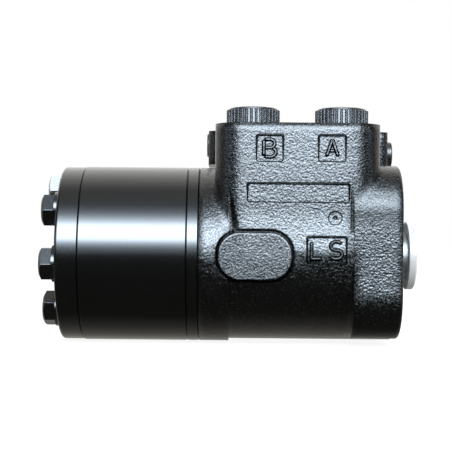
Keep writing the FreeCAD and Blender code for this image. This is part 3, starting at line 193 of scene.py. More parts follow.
def turned_marks_group():
    """Fine turning marks: rings around the shaft axis, uneven along it, with a slow waver."""
    nodes, given, out = new_group("turned_marks", ("Pitch", "Waver"), ("Height", "Shade"))
    along = nodes.math("MULTIPLY", nodes.parts(given["Place"])[0], given["Pitch"])
    lines = nodes.noise(nodes.vector({0: along}), 1.0)
    slow = nodes.noise(given["Place"], WAVER_SCALE)
    nodes.feed(out, "Height", nodes.math("MULTIPLY_ADD", slow, given["Waver"], lines))
    nodes.feed(out, "Shade", nodes.span(lines, *SHADE_SPAN))
    return nodes.tree


# Scuffs: each scratch direction has a turn in radians and a stretch of its noise.
SCRATCHES = ((0.5, (14.0, 14.0, 900.0)), (-0.9, (900.0, 18.0, 16.0)))
SCRATCH_TILT = 0.7
SCRATCH_SPAN = (0.74, 0.78)
PATCH_SCALE = 60.0
PATCH_SPAN = (0.5, 0.7)
SPECK_SCALE = 1400.0
SPECK_SPAN = (0.7, 0.78)


def scuffs_group():
    """Handling marks: thin scratches in two directions, and small specks, for dust and for painted glints.
    """
    nodes, given, out = new_group("scuffs", ("Amount",), ("Scratch", "Dust"))
    marks = []
    for turn, stretch in SCRATCHES:
        turned = (turn, turn * SCRATCH_TILT, turn)
        mapped = nodes.add("ShaderNodeMapping", {
            "Vector": given["Place"], "Rotation": turned, "Scale": stretch}).outputs[0]
        marks.append(nodes.span(nodes.noise(mapped, 1.0, detail=0.0), *SCRATCH_SPAN))
    patch = nodes.span(nodes.noise(given["Place"], PATCH_SCALE, detail=1.0), *PATCH_SPAN)
    scratch = nodes.math("MULTIPLY", nodes.math("MAXIMUM", *marks), patch)
    nodes.feed(out, "Scratch", nodes.math("MULTIPLY", scratch, given["Amount"]))
    # Specks: dust, and painted glints where a finish gives them a high share.
    specks = nodes.span(nodes.noise(given["Place"], SPECK_SCALE, detail=0.0), *SPECK_SPAN)
    nodes.feed(out, "Dust", nodes.math("MULTIPLY", specks, given["Amount"]))
    return nodes.tree


GROUPS = {"cast_skin": cast_skin_group(), "turned_marks": turned_marks_group(), "scuffs": scuffs_group()}


class Finish:
    """One material: a Principled shader with calls for the shared effects."""

    def __init__(self, name, **plain):
        self.material = bpy.data.materials.new(name)
        self.material.use_nodes = True
        self.nodes = Nodes(self.material.node_tree)
        self.shader = self.material.node_tree.nodes["Principled BSDF"]
        self.place = self.nodes.add("ShaderNodeTexCoord").outputs["Object"]
        for socket, setting in plain.items():
            self.shader.inputs[socket.replace("_", " ")].default_value = setting

    def group(self, name, **settings):
        node = self.nodes.add("ShaderNodeGroup", node_tree=GROUPS[name])
        self.nodes.feed(node, "Place", self.place)
        for socket, setting in settings.items():
            self.nodes.feed(node, socket, setting)
        return node.outputs

    def colour(self, source):
        self.nodes.feed(self.shader, "Base Color", source)

    def roughness(self, source):
        self.nodes.feed(self.shader, "Roughness", source)

    def bump(self, height, distance, normal=None):
        bumped = self.nodes.add("ShaderNodeBump", {"Height": height, "Distance": distance})
        if normal:
            self.nodes.feed(bumped, "Normal", normal)
        self.nodes.feed(self.shader, "Normal", bumped.outputs[0])


# Black paint, shared by the casting, the lettering, the turned sections and the bolts

PAINT_BLACK = (0.0011, 0.0014, 0.0014, 1)
PAINT_WORN = (0.006, 0.0065, 0.007, 1)
# Colour of the specks: dust on the turned sections, and painted glints on the cast paint, lighter grains
# that stand in for highlights.
DUST_AND_GLINT = (0.16, 0.15, 0.13, 1)
PAINT_INDEX = 1.5
PAINT_ROUGHNESS = (0.15, 0.25)
# Share of the specks on the cast paint and the marks, high enough that they show as painted glints in the
# dark.
PAINTED_GLINTS = 0.6
SECTION_DUST = 0.08


def worn_black_and_glints(finish, scuffs, dust_and_glint_share):
    """Black, a little greyer along the scratches, and lighter under the specks: dust on the turned sections,
    painted glints on the cast paint.
    """
    worn = finish.nodes.blend(scuffs["Scratch"], PAINT_BLACK, PAINT_WORN)
    finish.colour(finish.nodes.blend(finish.nodes.math("MULTIPLY", scuffs["Dust"], dust_and_glint_share), worn, DUST_AND_GLINT))


def paint(finish, skin, gloss, satin=0.0):
    """Gloss paint on cast iron, made duller by satin. Where the gloss is low, the paint turns to a
    black metal, which mirrors nothing but at a slant."""
    nodes = finish.nodes
    nodes.feed(finish.shader, "Metallic", nodes.math("SUBTRACT", 1.0, gloss))
    finish.roughness(nodes.math("ADD", nodes.span(skin["Speckle"], 0.0, 1.0, *PAINT_ROUGHNESS), satin))
    # The specks here are painted glints: lighter grains of colour where the cast skin would catch
    # highlights.
    worn_black_and_glints(finish, finish.group("scuffs", Amount=0.3), PAINTED_GLINTS)


# Soft forms of the casting, in millimetres. A dip is its X at the foot, the lean of X over Z, its
# low and high Z, its half width at the foot and at the head, and its share of the painted shade.
DIPS = ((-85.9, -0.1, 13.5, 30.0, 3.2, 1.2, 1.0), (-26.0, 0.0, 11.0, 32.0, 1.5, 1.2, 0.7))
DIP_FOOT = 13.0
DIP_LOW_FADE = 1.0
DIP_HIGH_FADE = 5.0
DIP_DEPTH = 0.5

# The oval pad, in millimetres: its middle and half sizes along X and Z, its corners, how far out
# of the flank counts as pad, the margin around it that keeps its crisp edge, and where the painted
# shade of the groove around it rises and falls, measured outwards from its edge.
PAD_MIDDLE = (-75.1, 0.0)
PAD_HALF = (18.6, 12.1)
PAD_CORNER = 11.0
PAD_STEP = 0.9
PAD_MARGIN = 2.0
MOAT_RISE = (-0.6, 0.2)
MOAT_FALL = (1.3, 2.1)

# How much the faces of a flank lean back, and where, in millimetres: LEAN_FADE is measured inwards
# from the flank's face, the others are bands and rises along X or Z.
FACE_LEAN = 0.066
TOWER_LEAN = 0.02
BELLY_LEAN = 0.07
LEAN_FADE = (1.6, 0.1)
BETWEEN_FLANGES = ((-85, -80), (-30, -25))
BELLY_BAND = ((1, 5), (14, 24))
WAIST_RISE = (-4, 3)
TOWER_RISE = (1, 6)
FLANGE_RISE = (-26, -19)
LEAN_BOTTOM = (-24, -21)


def dips_at(nodes, parts):
    """Shallow dips beside the flanges, from 0 to 1, for a bump and for painted shade."""
    dips = 0.0
    for foot, lean, low, high, wide, narrow, share in DIPS:
        middle = nodes.math("MULTIPLY_ADD", parts[2], lean, (foot - lean * DIP_FOOT) * MM)
        aside = nodes.math("ABSOLUTE", nodes.math("SUBTRACT", parts[0], middle))
        half = nodes.span(parts[2], low * MM, high * MM, wide * MM, narrow * MM)
        across = nodes.span(aside, 0.0, half, 1.0, 0.0, interpolation_type="SMOOTHSTEP")
        height = nodes.band(
            parts[2], (low - DIP_LOW_FADE, low + DIP_LOW_FADE), (high - DIP_HIGH_FADE, high + DIP_HIGH_FADE))
        dips = nodes.math("MULTIPLY_ADD", nodes.math("MULTIPLY", across, share), height, dips)
    return dips


def lean_at(nodes, parts):
    """How much the flat faces of a flank lean back, and more along the belly of the tower."""
    aside = nodes.math("ABSOLUTE", parts[1])
    flank = nodes.span(aside, FLANK - LEAN_FADE[0] * MM, FLANK - LEAN_FADE[1] * MM)
    between = nodes.band(parts[0], *BETWEEN_FLANGES)
    belly = nodes.math("MULTIPLY", between, nodes.band(parts[2], *BELLY_BAND))
    belly = nodes.math("MULTIPLY", belly, nodes.math("LESS_THAN", aside, FLANK + PAD_STEP * MM))
    lean = nodes.math("MULTIPLY_ADD", belly, BELLY_LEAN, FACE_LEAN)
    waist = nodes.math("MULTIPLY", between, nodes.span(parts[2], WAIST_RISE[0] * MM, WAIST_RISE[1] * MM))
    tower = nodes.math("MAXIMUM", nodes.span(parts[2], TOWER_RISE[0] * MM, TOWER_RISE[1] * MM), waist)
    lean = nodes.math("MULTIPLY_ADD", nodes.math("MULTIPLY", tower, between), TOWER_LEAN, lean)
    flange = nodes.span(parts[0], FLANGE_RISE[0] * MM, FLANGE_RISE[1] * MM)
    place = nodes.math("MAXIMUM", flange, nodes.math("GREATER_THAN", aside, FLANK + PAD_STEP * MM))
    place = nodes.math("MAXIMUM", place, tower)
    above = nodes.span(parts[2], LEAN_BOTTOM[0] * MM, LEAN_BOTTOM[1] * MM)
    return nodes.math("MULTIPLY", nodes.math("MULTIPLY", lean, place), nodes.math("MULTIPLY", flank, above))


def pad_edge_at(nodes, parts):
    """Distance from the edge of the oval pad on a flank, negative inside it: the length of what
    reaches past the corner centres along X and Z, less the corner radius."""
    beyond = []
    for part, middle, half in zip((parts[0], parts[2]), PAD_MIDDLE, PAD_HALF):
        aside = nodes.math("ABSOLUTE", nodes.math("SUBTRACT", part, middle * MM))
        beyond.append(nodes.math("SUBTRACT", aside, (half - PAD_CORNER) * MM))
    inside = nodes.math("MINIMUM", nodes.math("MAXIMUM", *beyond), 0.0)
    corner = nodes.vector({axis: nodes.math("MAXIMUM", reach, 0.0) for axis, reach in enumerate(beyond)})
    outside = nodes.add("ShaderNodeVectorMath", {0: corner}, operation="LENGTH").outputs["Value"]
    return nodes.math("SUBTRACT", nodes.math("ADD", inside, outside), PAD_CORNER * MM)


# Skin, edges and creases of the casting, in millimetres where they are lengths.
SKIN_DEPTH = 0.14
SKIN_EVEN = 0.95
SKIN_COARSER = 0.7
SKIN_MACHINED = 0.05
MACHINED_MARGIN = 0.05
SATIN = 0.35
PIT_SPAN = (0.0, 0.7)
PIT_GLOSS = 0.76
FILLET_REACH = 6.0
EDGE_REACH = 1.5
CREASE_REACH = 1.2
CREASE_SPAN = (0.4, 0.95)
CREASE_SHADED_GLOSS = 0.15
GROOVE_SHADE = 0.92
FLANK_FROM = 40.0
FLANGE_FROM = (-29, -23)
COARSE_BAND = ((-26, -20), (12, 20))
# Band on the column flange's upper corner where the paint is darkened as painted shade, and by how much.
SHOULDER_BAND = ((12, 20), (30, 38))
SHOULDER_SHADE = 0.35


def casting_finish():
    """Gloss black paint over sand-cast iron: soft round edges, painted shade in the creases, dips and pad
    groove and on the column flange's upper corner, coarser skin on the column flange, and smooth satin faces
    on the column side and around the ports."""
    finish = Finish("black_casting_paint", IOR=PAINT_INDEX)
    nodes = finish.nodes
    skin = finish.group("cast_skin", Grain=960.0, Grit=0.35, Swell=0.8)
    parts = nodes.parts(finish.place)
    rough = nodes.math(
        "MULTIPLY", nodes.math("LESS_THAN", parts[0], -MACHINED_MARGIN * MM),
        nodes.math("LESS_THAN", parts[2], PORT_FACE - MACHINED_MARGIN * MM))

    pad_edge = pad_edge_at(nodes, parts)
    soft = nodes.math("MULTIPLY", rough, nodes.math("GREATER_THAN", pad_edge, PAD_MARGIN * MM))
    reach = nodes.math("MULTIPLY_ADD", soft, (FILLET_REACH - EDGE_REACH) * MM, EDGE_REACH * MM)
    rounded = nodes.add("ShaderNodeBevel", {"Radius": reach}, samples=8).outputs[0]
    leaning = nodes.vector({2: lean_at(nodes, parts)})
    normal = nodes.add("ShaderNodeVectorMath", {0: rounded, 1: leaning}, operation="ADD").outputs[0]

    dips = dips_at(nodes, parts)
    flange = nodes.span(parts[0], FLANGE_FROM[0] * MM, FLANGE_FROM[1] * MM)
    coarse = nodes.math("MULTIPLY", flange, nodes.band(parts[2], *COARSE_BAND))
    coarse = nodes.math("MULTIPLY_ADD", coarse, SKIN_COARSER, SKIN_EVEN)
    coarse = nodes.math("MULTIPLY_ADD", rough, coarse, SKIN_MACHINED)
    height = nodes.math("MULTIPLY", skin["Height"], coarse)
    height = nodes.math("MULTIPLY_ADD", dips, -DIP_DEPTH / SKIN_DEPTH, height)
    finish.bump(height, SKIN_DEPTH * MM, normal=normal)

    # Painted shade in creases: where the ambient occlusion finds them, the gloss falls and the paint turns
    # to dark black metal.
    open_sky = nodes.add(
        "ShaderNodeAmbientOcclusion", {"Distance": CREASE_REACH * MM}, samples=16).outputs["AO"]
    gloss = nodes.span(open_sky, *CREASE_SPAN, CREASE_SHADED_GLOSS, 1.0)
    on_flank = nodes.math("GREATER_THAN", nodes.math("ABSOLUTE", parts[1]), FLANK_FROM * MM)
    # Painted shade in the groove around the pad and in the dips, on the flanks only.
    shade = nodes.math("MAXIMUM", nodes.band(pad_edge, MOAT_RISE, MOAT_FALL), dips)
    shaded = nodes.math("MULTIPLY_ADD", nodes.math("MULTIPLY", shade, on_flank), -GROOVE_SHADE, 1.0)
    # Painted shade on the upper corner of the column flange: less gloss there dims the window's highlight.
    shoulder = nodes.math("MULTIPLY", flange, nodes.band(parts[2], *SHOULDER_BAND))
    shoulder_shaded = nodes.math("MULTIPLY_ADD", shoulder, -SHOULDER_SHADE, 1.0)
    pits = nodes.span(skin["Speckle"], *PIT_SPAN, PIT_GLOSS, 1.0)
    for share in (shaded, shoulder_shaded, pits):
        gloss = nodes.math("MULTIPLY", gloss, share)
    paint(finish, skin, gloss, satin=nodes.math("MULTIPLY_ADD", rough, -SATIN, SATIN))
    return finish.material


MARK_SLOPES = (0.97, 0.999)
MARK_SIDE_SHADED_GLOSS = 0.02


def mark_finish(name, gloss):
    """The same paint on raised marks: gloss on their tops, and painted shade that makes their steep sides
    dark.
    """
    finish = Finish(name, IOR=PAINT_INDEX)
    nodes = finish.nodes
    skin = finish.group("cast_skin", Grain=700.0, Grit=0.1, Swell=0.2)
    facing = nodes.add("ShaderNodeNewGeometry").outputs["Normal"]
    leaning = nodes.vector({2: FACE_LEAN})
    normal = nodes.add("ShaderNodeVectorMath", {0: facing, 1: leaning}, operation="ADD").outputs[0]
    finish.bump(skin["Height"], SKIN_DEPTH * MM / 2, normal=normal)
    across = nodes.math("ABSOLUTE", nodes.parts(facing)[1])
    # Painted shade on the steep sides of the marks: they turn to dark black metal whichever way they face.
    paint(finish, skin, nodes.span(across, *MARK_SLOPES, MARK_SIDE_SHADED_GLOSS, gloss))
    return finish.material


SCRATCH_DEPTH = -0.5
ROUGHER_LINES = 0.07


def machined_finish(name, roughness, depth):
    """Satin black over a turned surface, with faint marks and a few scratches."""
    finish = Finish(name, IOR=PAINT_INDEX)
    nodes = finish.nodes
    marks = finish.group("turned_marks", Pitch=4200.0, Waver=0.6)
    scuffs = finish.group("scuffs", Amount=0.4)
    finish.bump(nodes.math("MULTIPLY_ADD", scuffs["Scratch"], SCRATCH_DEPTH, marks["Height"]), depth)
    finish.roughness(nodes.span(marks["Shade"], 0.0, 1.0, roughness, roughness + ROUGHER_LINES))
    worn_black_and_glints(finish, scuffs, SECTION_DUST)
    return finish.material


BOLT_EDGE = 0.5 * MM
BOLT_PITS = 0.006 * MM
ROUGHER_PITS = 0.08


def bolt_finish(name, roughness):
    """Black fasteners: smooth paint with small pits."""
    finish = Finish(name, IOR=PAINT_INDEX)
    skin = finish.group("cast_skin", Grain=1500.0, Grit=0.2, Swell=0.6)
    rounded = finish.nodes.add("ShaderNodeBevel", {"Radius": BOLT_EDGE}, samples=8).outputs[0]
    finish.bump(skin["Height"], BOLT_PITS, normal=rounded)
    finish.roughness(finish.nodes.span(skin["Speckle"], 0.0, 1.0, roughness, roughness + ROUGHER_PITS))
    finish.colour(finish.nodes.blend(skin["Speckle"], PAINT_BLACK, PAINT_WORN))
    return finish.material


ROUGHER_GRAIN = 0.12


def bare_metal(name, light, dark, roughness, grain=0.012 * MM):
    """Bare metal with turning marks that change its tone and gloss a little."""
    finish = Finish(name, Metallic=1.0)
    marks = finish.group("turned_marks", Pitch=5200.0, Waver=0.5)
    finish.bump(marks["Height"], grain)
    finish.roughness(finish.nodes.span(marks["Shade"], 0.0, 1.0, roughness, roughness + ROUGHER_GRAIN))
    finish.colour(finish.nodes.blend(marks["Shade"], light, dark))
    return finish.material


ROUGHER_PEEL = 0.1


def moulded(name, colour, second, roughness, height, **plain):
    """Moulded plastic or rubber: a fine orange-peel skin with a slight change of tone."""
    finish = Finish(name, **plain)
    skin = finish.group("cast_skin", Grain=2200.0, Grit=0.5, Swell=0.3)
    finish.bump(skin["Height"], height)
    finish.roughness(finish.nodes.span(skin["Speckle"], 0.0, 1.0, roughness, roughness + ROUGHER_PEEL))
    finish.colour(finish.nodes.blend(skin["Speckle"], colour, second))
    return finish.material


# Every finish of the unit, with what sets it apart: its tones, its gloss or roughness, and the
# depth of its skin.
FINISHES = {
    "casting": casting_finish(),
    "letter": mark_finish("black_letter_paint", 0.85),
    # The frames keep little gloss, so that they show as dark lines: painted shade.
    "frame": mark_finish("black_frame_paint", 0.12),
    "section": machined_finish("black_section_paint", 0.13, 0.003 * MM),
    "bolt": bolt_finish("black_bolt_paint", 0.12),
    "plug": bolt_finish("black_plug_paint", 0.34),
    "zinc": bare_metal("bright_zinc", (0.44, 0.43, 0.42, 1), (0.36, 0.355, 0.35, 1), 0.2, 0.004 * MM),
    "steel": bare_metal("ground_steel", (0.26, 0.258, 0.25, 1), (0.19, 0.19, 0.185, 1), 0.42),
    "spring": bare_metal("blued_spring_steel", (0.24, 0.25, 0.3, 1), (0.16, 0.17, 0.2, 1), 0.25),
    "rubber": moulded("nitrile_rubber", (0.014, 0.014, 0.014, 1), (0.022, 0.022, 0.022, 1), 0.5, 0.01 * MM),
    "knurled": moulded(
        "black_polyethylene", (0.006, 0.0065, 0.007, 1), (0.012, 0.0125, 0.014, 1), 0.22, 0.012 * MM,
        Specular_IOR_Level=0.8),
    "cap": moulded(
        "natural_polyethylene", (0.86, 0.88, 0.9, 1), (0.82, 0.84, 0.86, 1), 0.35, 0.01 * MM),
}

FINISH_OF = {
    "housing": "casting",
    "spacer_plate": "section", "gear_ring": "section", "end_cover": "section",
    "cover_bolts": "bolt", "bolt_washers": "bolt", "cover_pin_bolt": "zinc",
    "front_valve_plug": "plug", "rear_valve_plug": "plug",
    "port_plug_front": "knurled", "port_plug_rear": "knurled", "dust_cap": "cap",
    "flat_springs": "spring", "bowed_springs": "spring",
    "front_valve_spring": "spring", "rear_valve_spring": "spring",
    "shaft_seal": "rubber", "dust_seal": "rubber", "plug_seals": "rubber",
    "seal_ring_housing": "rubber", "seal_ring_plate": "rubber", "seal_ring_cover": "rubber",
}


def dress_nodes():
    """Every solid takes its finish; what has none of its own is ground steel."""
    for name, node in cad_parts.items():
        node.data.materials.clear()
        node.data.materials.append(FINISHES[FINISH_OF.get(name, "steel")])


# Surfaces worked out on a grid of two parameters

MERGE_REACH = 0.0005 * MM
SHARP = math.radians(32)

# Numbers of steps: the fewest on a path, and those of a letter's bowl and of a frame's corner.
FEWEST_STEPS = 4
ARC_STEPS = 14
CORNER_STEPS = 5


def merge(mesh):
    """Points that fall together become one, faces turn outwards, and only sharp edges stay so."""
    shape = bmesh.new()
    shape.from_mesh(mesh)
    bmesh.ops.remove_doubles(shape, verts=shape.verts, dist=MERGE_REACH)
    bmesh.ops.recalc_face_normals(shape, faces=shape.faces)
    for edge in shape.edges:
        edge.smooth = edge.calc_face_angle(0.0) < SHARP
    for face in shape.faces:
        face.smooth = True
    if "custom_normal" in mesh.attributes:
        mesh.attributes.remove(mesh.attributes["custom_normal"])
    shape.to_mesh(mesh)
    shape.free()
    mesh.validate()


def grid_mesh(name, points, finish, close_across=False, close_along=False):
    """A quad mesh through an array of points, rows by columns, joined at its ends if asked."""
    rows, columns = points.shape[:2]
    row = np.arange(rows if close_along else rows - 1)
    column = np.arange(columns if close_across else columns - 1)
    first, second = np.meshgrid(row, column, indexing="ij")
    below, beside = (first + 1) % rows, (second + 1) % columns
    quads = np.stack([
        first * columns + second, first * columns + beside,
        below * columns + beside, below * columns + second], axis=-1).reshape(-1, 4)
    mesh = bpy.data.meshes.new(name)
    mesh.from_pydata(points.reshape(-1, 3), [], quads.tolist())
    merge(mesh)
    mesh.materials.append(FINISHES[finish])
    piece = bpy.data.objects.new(name, mesh)
    bpy.context.scene.collection.objects.link(piece)
    return piece


def resample(corners, spacing, closed=False):
    """Points at about equal steps along straight runs through the corners."""
    corners = np.asarray(corners, dtype=float)
    if closed:
        corners = np.vstack([corners, corners[:1]])
    lengths = np.linalg.norm(np.diff(corners, axis=0), axis=1)
    reach = np.concatenate([[0], np.cumsum(lengths)])
    count = max(int(round(reach[-1] / spacing)), FEWEST_STEPS)
    steps = np.linspace(0, reach[-1], count + 1)
    if closed:
        steps = steps[:-1]
    return np.stack([np.interp(steps, reach, corners[:, axis]) for axis in range(2)], axis=-1)


def arc(centre, radii, start, end, count=ARC_STEPS):
    """Points of an ellipse arc: centre plus radii times cosine and sine of the angle in degrees."""
    angle = np.radians(np.linspace(start, end, count))
    return np.stack([centre[0] + radii[0] * np.cos(angle), centre[1] + radii[1] * np.sin(angle)], axis=-1)


def circle(centre, radius, count):
    """Points all round a centre, at equal steps of angle."""
    return arc(centre, (radius, radius), 0, 360 - 360 / count, count)


def rounded_frame(left, right, low, high, corner, spacing):
    """Closed path around a rectangle: a quarter circle at each corner, from its start angle down
    by 90 degrees, beginning at the right end of the top."""
    quarters = (
        (right - corner, high - corner, 90), (right - corner, low + corner, 0),
        (left + corner, low + corner, -90), (left + corner, high - corner, 180))
    corners = [
        arc((x, z), (corner, corner), start, start - 90, CORNER_STEPS) for x, z, start in quarters]
    return resample(np.vstack(corners), spacing, closed=True)


BEAD_STEPS = 15
BEAD_SINK = 0.05 * MM
BEAD_ROOT = 0.4 * MM
BEAD_TOP = 0.32
BEAD_END = 3


def bead(name, path, width, height, face, closed=False, finish="letter", lower=1.0):
    """A raised cast bead along a path on a flank of the housing, with a flat top and hollow feet
    just inside the face: from across = BEAD_TOP to 1 it falls as a smooth step, 3t^2 - 2t^3, and
    a flat root inside the housing closes it. Open ends shrink to a point over BEAD_END steps, as
    the square root of 1 - (1 - t)^2. From the highest point of the path to the lowest, the section
    shrinks evenly to the share lower; a level path keeps it whole. The path is in (along X, along
    Z); face is -1 for the near flank and 1 for the far one."""
    path = np.asarray(path, dtype=float)
    before = np.roll(path, 1, axis=0) if closed else np.vstack([path[:1], path[:-1]])
    after = np.roll(path, -1, axis=0) if closed else np.vstack([path[1:], path[-1:]])
    along = after - before
    along /= np.linalg.norm(along, axis=1, keepdims=True)
    side = np.stack([-along[:, 1], along[:, 0]], axis=-1)
    across = np.linspace(1, -1, BEAD_STEPS)
    step = np.clip((1 - np.abs(across)) / (1 - BEAD_TOP), 0, 1)
    section = height * (3 * step ** 2 - 2 * step ** 3) - BEAD_SINK
    across = np.concatenate([across, across[[-1, 0]]])
    section = np.concatenate([section, [-BEAD_ROOT, -BEAD_ROOT]])
    depth = (path[:, 1].max() - path[:, 1]) / max(np.ptp(path[:, 1]), MERGE_REACH)
    swell = 1 - (1 - lower) * depth
    if not closed:
        inner = np.minimum(np.arange(len(path)), np.arange(len(path))[::-1]) / BEAD_END
        swell = swell * np.sqrt(1 - (1 - np.clip(inner, 0, 1)) ** 2)
    flat = path[:, None, :] + side[:, None, :] * (across[None, :, None] * width / 2) * swell[:, None, None]
    rise = (section[None, :] + BEAD_ROOT) * swell[:, None] - BEAD_ROOT
    below = np.sqrt(np.clip(WAIST ** 2 - flat[..., 1] ** 2, 0, None)) + FLANK - WAIST
    ground = np.where(flat[..., 1] < 0, below, FLANK)
    points = np.stack([flat[..., 0], face * (ground + rise), flat[..., 1]], axis=-1)
    return grid_mesh(name, points, finish, close_across=True, close_along=closed)


def letter_strokes(letter):
    """Strokes of a capital in a box one wide and one high: straight runs and round bowls."""
    if letter == "A":
        return [[(0.0, 0.0), (0.5, 1.0), (1.0, 0.0)], [(0.2, 0.36), (0.8, 0.36)]]
    if letter == "B":
        upper = np.vstack([[(0.0, 1.0)], arc((0.55, 0.76), (0.33, 0.24), 90, -90), [(0.0, 0.52)]])
        lower = np.vstack([arc((0.58, 0.26), (0.4, 0.26), 80, -90), [(0.0, 0.0)]])
        return [[(0.0, 0.0), (0.0, 1.0)], upper, lower]
    if letter == "L":
        return [[(0.0, 1.0), (0.0, 0.0), (0.9, 0.0)]]
    if letter == "P":
        bowl = np.vstack([[(0.0, 1.0)], arc((0.55, 0.73), (0.4, 0.27), 90, -90), [(0.0, 0.46)]])
        return [[(0.0, 0.0), (0.0, 1.0)], bowl]
    if letter == "T":
        return [[(0.0, 1.0), (1.0, 1.0)], [(0.5, 1.0), (0.5, 0.0)]]
    upper = arc((0.5, 0.74), (0.45, 0.26), 20, 270)
    lower = arc((0.5, 0.26), (0.48, 0.26), 90, -160)
    return [np.vstack([upper, lower[1:]])]


STROKE_WIDTH = 2.3 * MM
STROKE_HEIGHT = 0.85 * MM
FRAME_WIDTH = 1.5 * MM
FRAME_HEIGHT = 0.75 * MM
FRAME_CORNER = 1.0 * MM
FRAME_LOWER = 0.55
SPACING = 0.4 * MM

# Port marks, in millimetres: letters, middle along X and Z, frame width and height, and the flank.
PORT_MARKS = (
    ("B", -68.0, 54.3, 13.4, 13.3, -1),
    ("A", -36.5, 54.4, 13.7, 13.3, -1),
    ("LS", -38.8, 3.0, 19.9, 13.4, -1),
    ("P", -75.8, 54.3, 13.4, 13.3, 1),
    ("T", -29.6, 54.3, 13.4, 13.3, 1),
)
LETTER_WIDTH = 6.2
LETTER_HEIGHT = 8.8
LETTER_PITCH = 9.4


def make_port_marks():
    """Cast capitals that name the ports, each in its frame."""
    for letters, x, z, wide, high, face in PORT_MARKS:
        path = rounded_frame(
            (x - wide / 2) * MM, (x + wide / 2) * MM, (z - high / 2) * MM, (z + high / 2) * MM,
            FRAME_CORNER, SPACING)
        pieces = [bead(
            f"mark_{letters}_frame", path, FRAME_WIDTH, FRAME_HEIGHT, face, closed=True,
            finish="frame", lower=FRAME_LOWER)]
        for index, letter in enumerate(letters):
            middle = x + -face * (index - (len(letters) - 1) / 2) * LETTER_PITCH
            for number, stroke in enumerate(letter_strokes(letter)):
                stroke = np.asarray(stroke, dtype=float)
                placed = np.stack([
                    (middle + -face * (stroke[:, 0] - 0.5) * LETTER_WIDTH) * MM,
                    (z + (stroke[:, 1] - 0.5) * LETTER_HEIGHT) * MM], axis=-1)
                pieces.append(bead(
                    f"mark_{letters}_{letter}_{number}", resample(placed, SPACING),
                    STROKE_WIDTH, STROKE_HEIGHT, face))
        for piece in pieces:
            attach(piece, "unit")


# Long frame: its left, right, low and high edges and its corners. Ring and dot: their middle, and
# the radius, the bead's width and the number of steps of each.
LONG_FRAME = (-79.1 * MM, -27.7 * MM, 27.1 * MM, 36.6 * MM)
LONG_FRAME_CORNER = 0.8 * MM
RING_MIDDLE = (-34.7 * MM, 19.3 * MM)
RING_RADIUS = 3.4 * MM
RING_WIDTH = 0.8 * MM
RING_STEPS = 36
DOT_RADIUS = 0.8 * MM
DOT_WIDTH = 1.2 * MM
DOT_STEPS = 12


def make_casting_marks():
    """A long bare frame, and a small ring with a dot, as a foundry leaves them."""
    frame_path = rounded_frame(*LONG_FRAME, LONG_FRAME_CORNER, SPACING)
    for name, path, width in (
            ("bare_frame", frame_path, FRAME_WIDTH),
            ("foundry_ring", circle(RING_MIDDLE, RING_RADIUS, RING_STEPS), RING_WIDTH),
            ("foundry_dot", circle(RING_MIDDLE, DOT_RADIUS, DOT_STEPS), DOT_WIDTH)):
        piece = bead(
            name, path, width, FRAME_HEIGHT, -1, closed=True, finish="frame", lower=FRAME_LOWER)
        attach(piece, "unit")


# Heads of the near bolts: where each stands, and the corner that it shows, in degrees up from
# the near side.
HEAD_CORNERS = ((42.4, -1.0), (-9.0, -2.0), (-60.4, 20.0))
HEAD_SIDES = 6
HEAD_TIPS = 0.995
BOLT_SPREAD = 24.0


def turn_bolt_heads():
    """The cover bolts as they were left when tightened: a copy whose near bolts are turned about
    their own axes. Each point keeps its reach from the axis, and its angle grows by the corner
    wanted less the head's own, which is the mean angle of its tips, folded into one side."""
    piece = bpy.data.objects.new("tightened_bolts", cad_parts["cover_bolts"].data.copy())
    bpy.context.scene.collection.objects.link(piece)
    merge(piece.data)
    places = np.empty(len(piece.data.vertices) * 3)
    piece.data.vertices.foreach_get("co", places)
    places = places.reshape(-1, 3)
    around = np.degrees(np.arctan2(places[:, 2], -places[:, 1]))
    for place, corner in HEAD_CORNERS:
        bolt = np.abs((around - place + 180) % 360 - 180) < BOLT_SPREAD
        middle = (places[bolt].max(axis=0) + places[bolt].min(axis=0)) / 2
        near, up = middle[1] - places[bolt, 1], places[bolt, 2] - middle[2]
        reach, angle = np.hypot(near, up), np.arctan2(up, near)
        tips = angle[reach > HEAD_TIPS * reach.max()] * HEAD_SIDES
        phase = math.atan2(np.sin(tips).mean(), np.cos(tips).mean()) / HEAD_SIDES
        angle += math.radians(corner) - phase
        places[bolt, 1] = middle[1] - reach * np.cos(angle)
        places[bolt, 2] = middle[2] + reach * np.sin(angle)
    piece.data.vertices.foreach_set("co", places.ravel())
    piece.data.update()
    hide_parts("cover_bolts")
    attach(piece, "unit")


# Studio: the floor is white to the camera, and what the paint mirrors of it goes from dark in
# front to its full tone behind, over MIRROR_RISE along Y.
FLOOR_GAP = 0.5 * MM
FLOOR_LEVEL = UNDERSIDE - FLOOR_GAP
FLOOR_REACH = 6.0
FLOOR_WHITE = 0.9
FLOOR_PAPER = (0.25, 0.25, 0.2425, 1)
FLOOR_TONE = (0.47, 0.46, 0.42, 1)
FLOOR_NEAR = 0.2
FLOOR_MIRRORED = 1.1
MIRROR_RISE = (-0.034, -0.008)
WHITE = (1, 1, 1, 1)
BLACK = (0, 0, 0, 1)


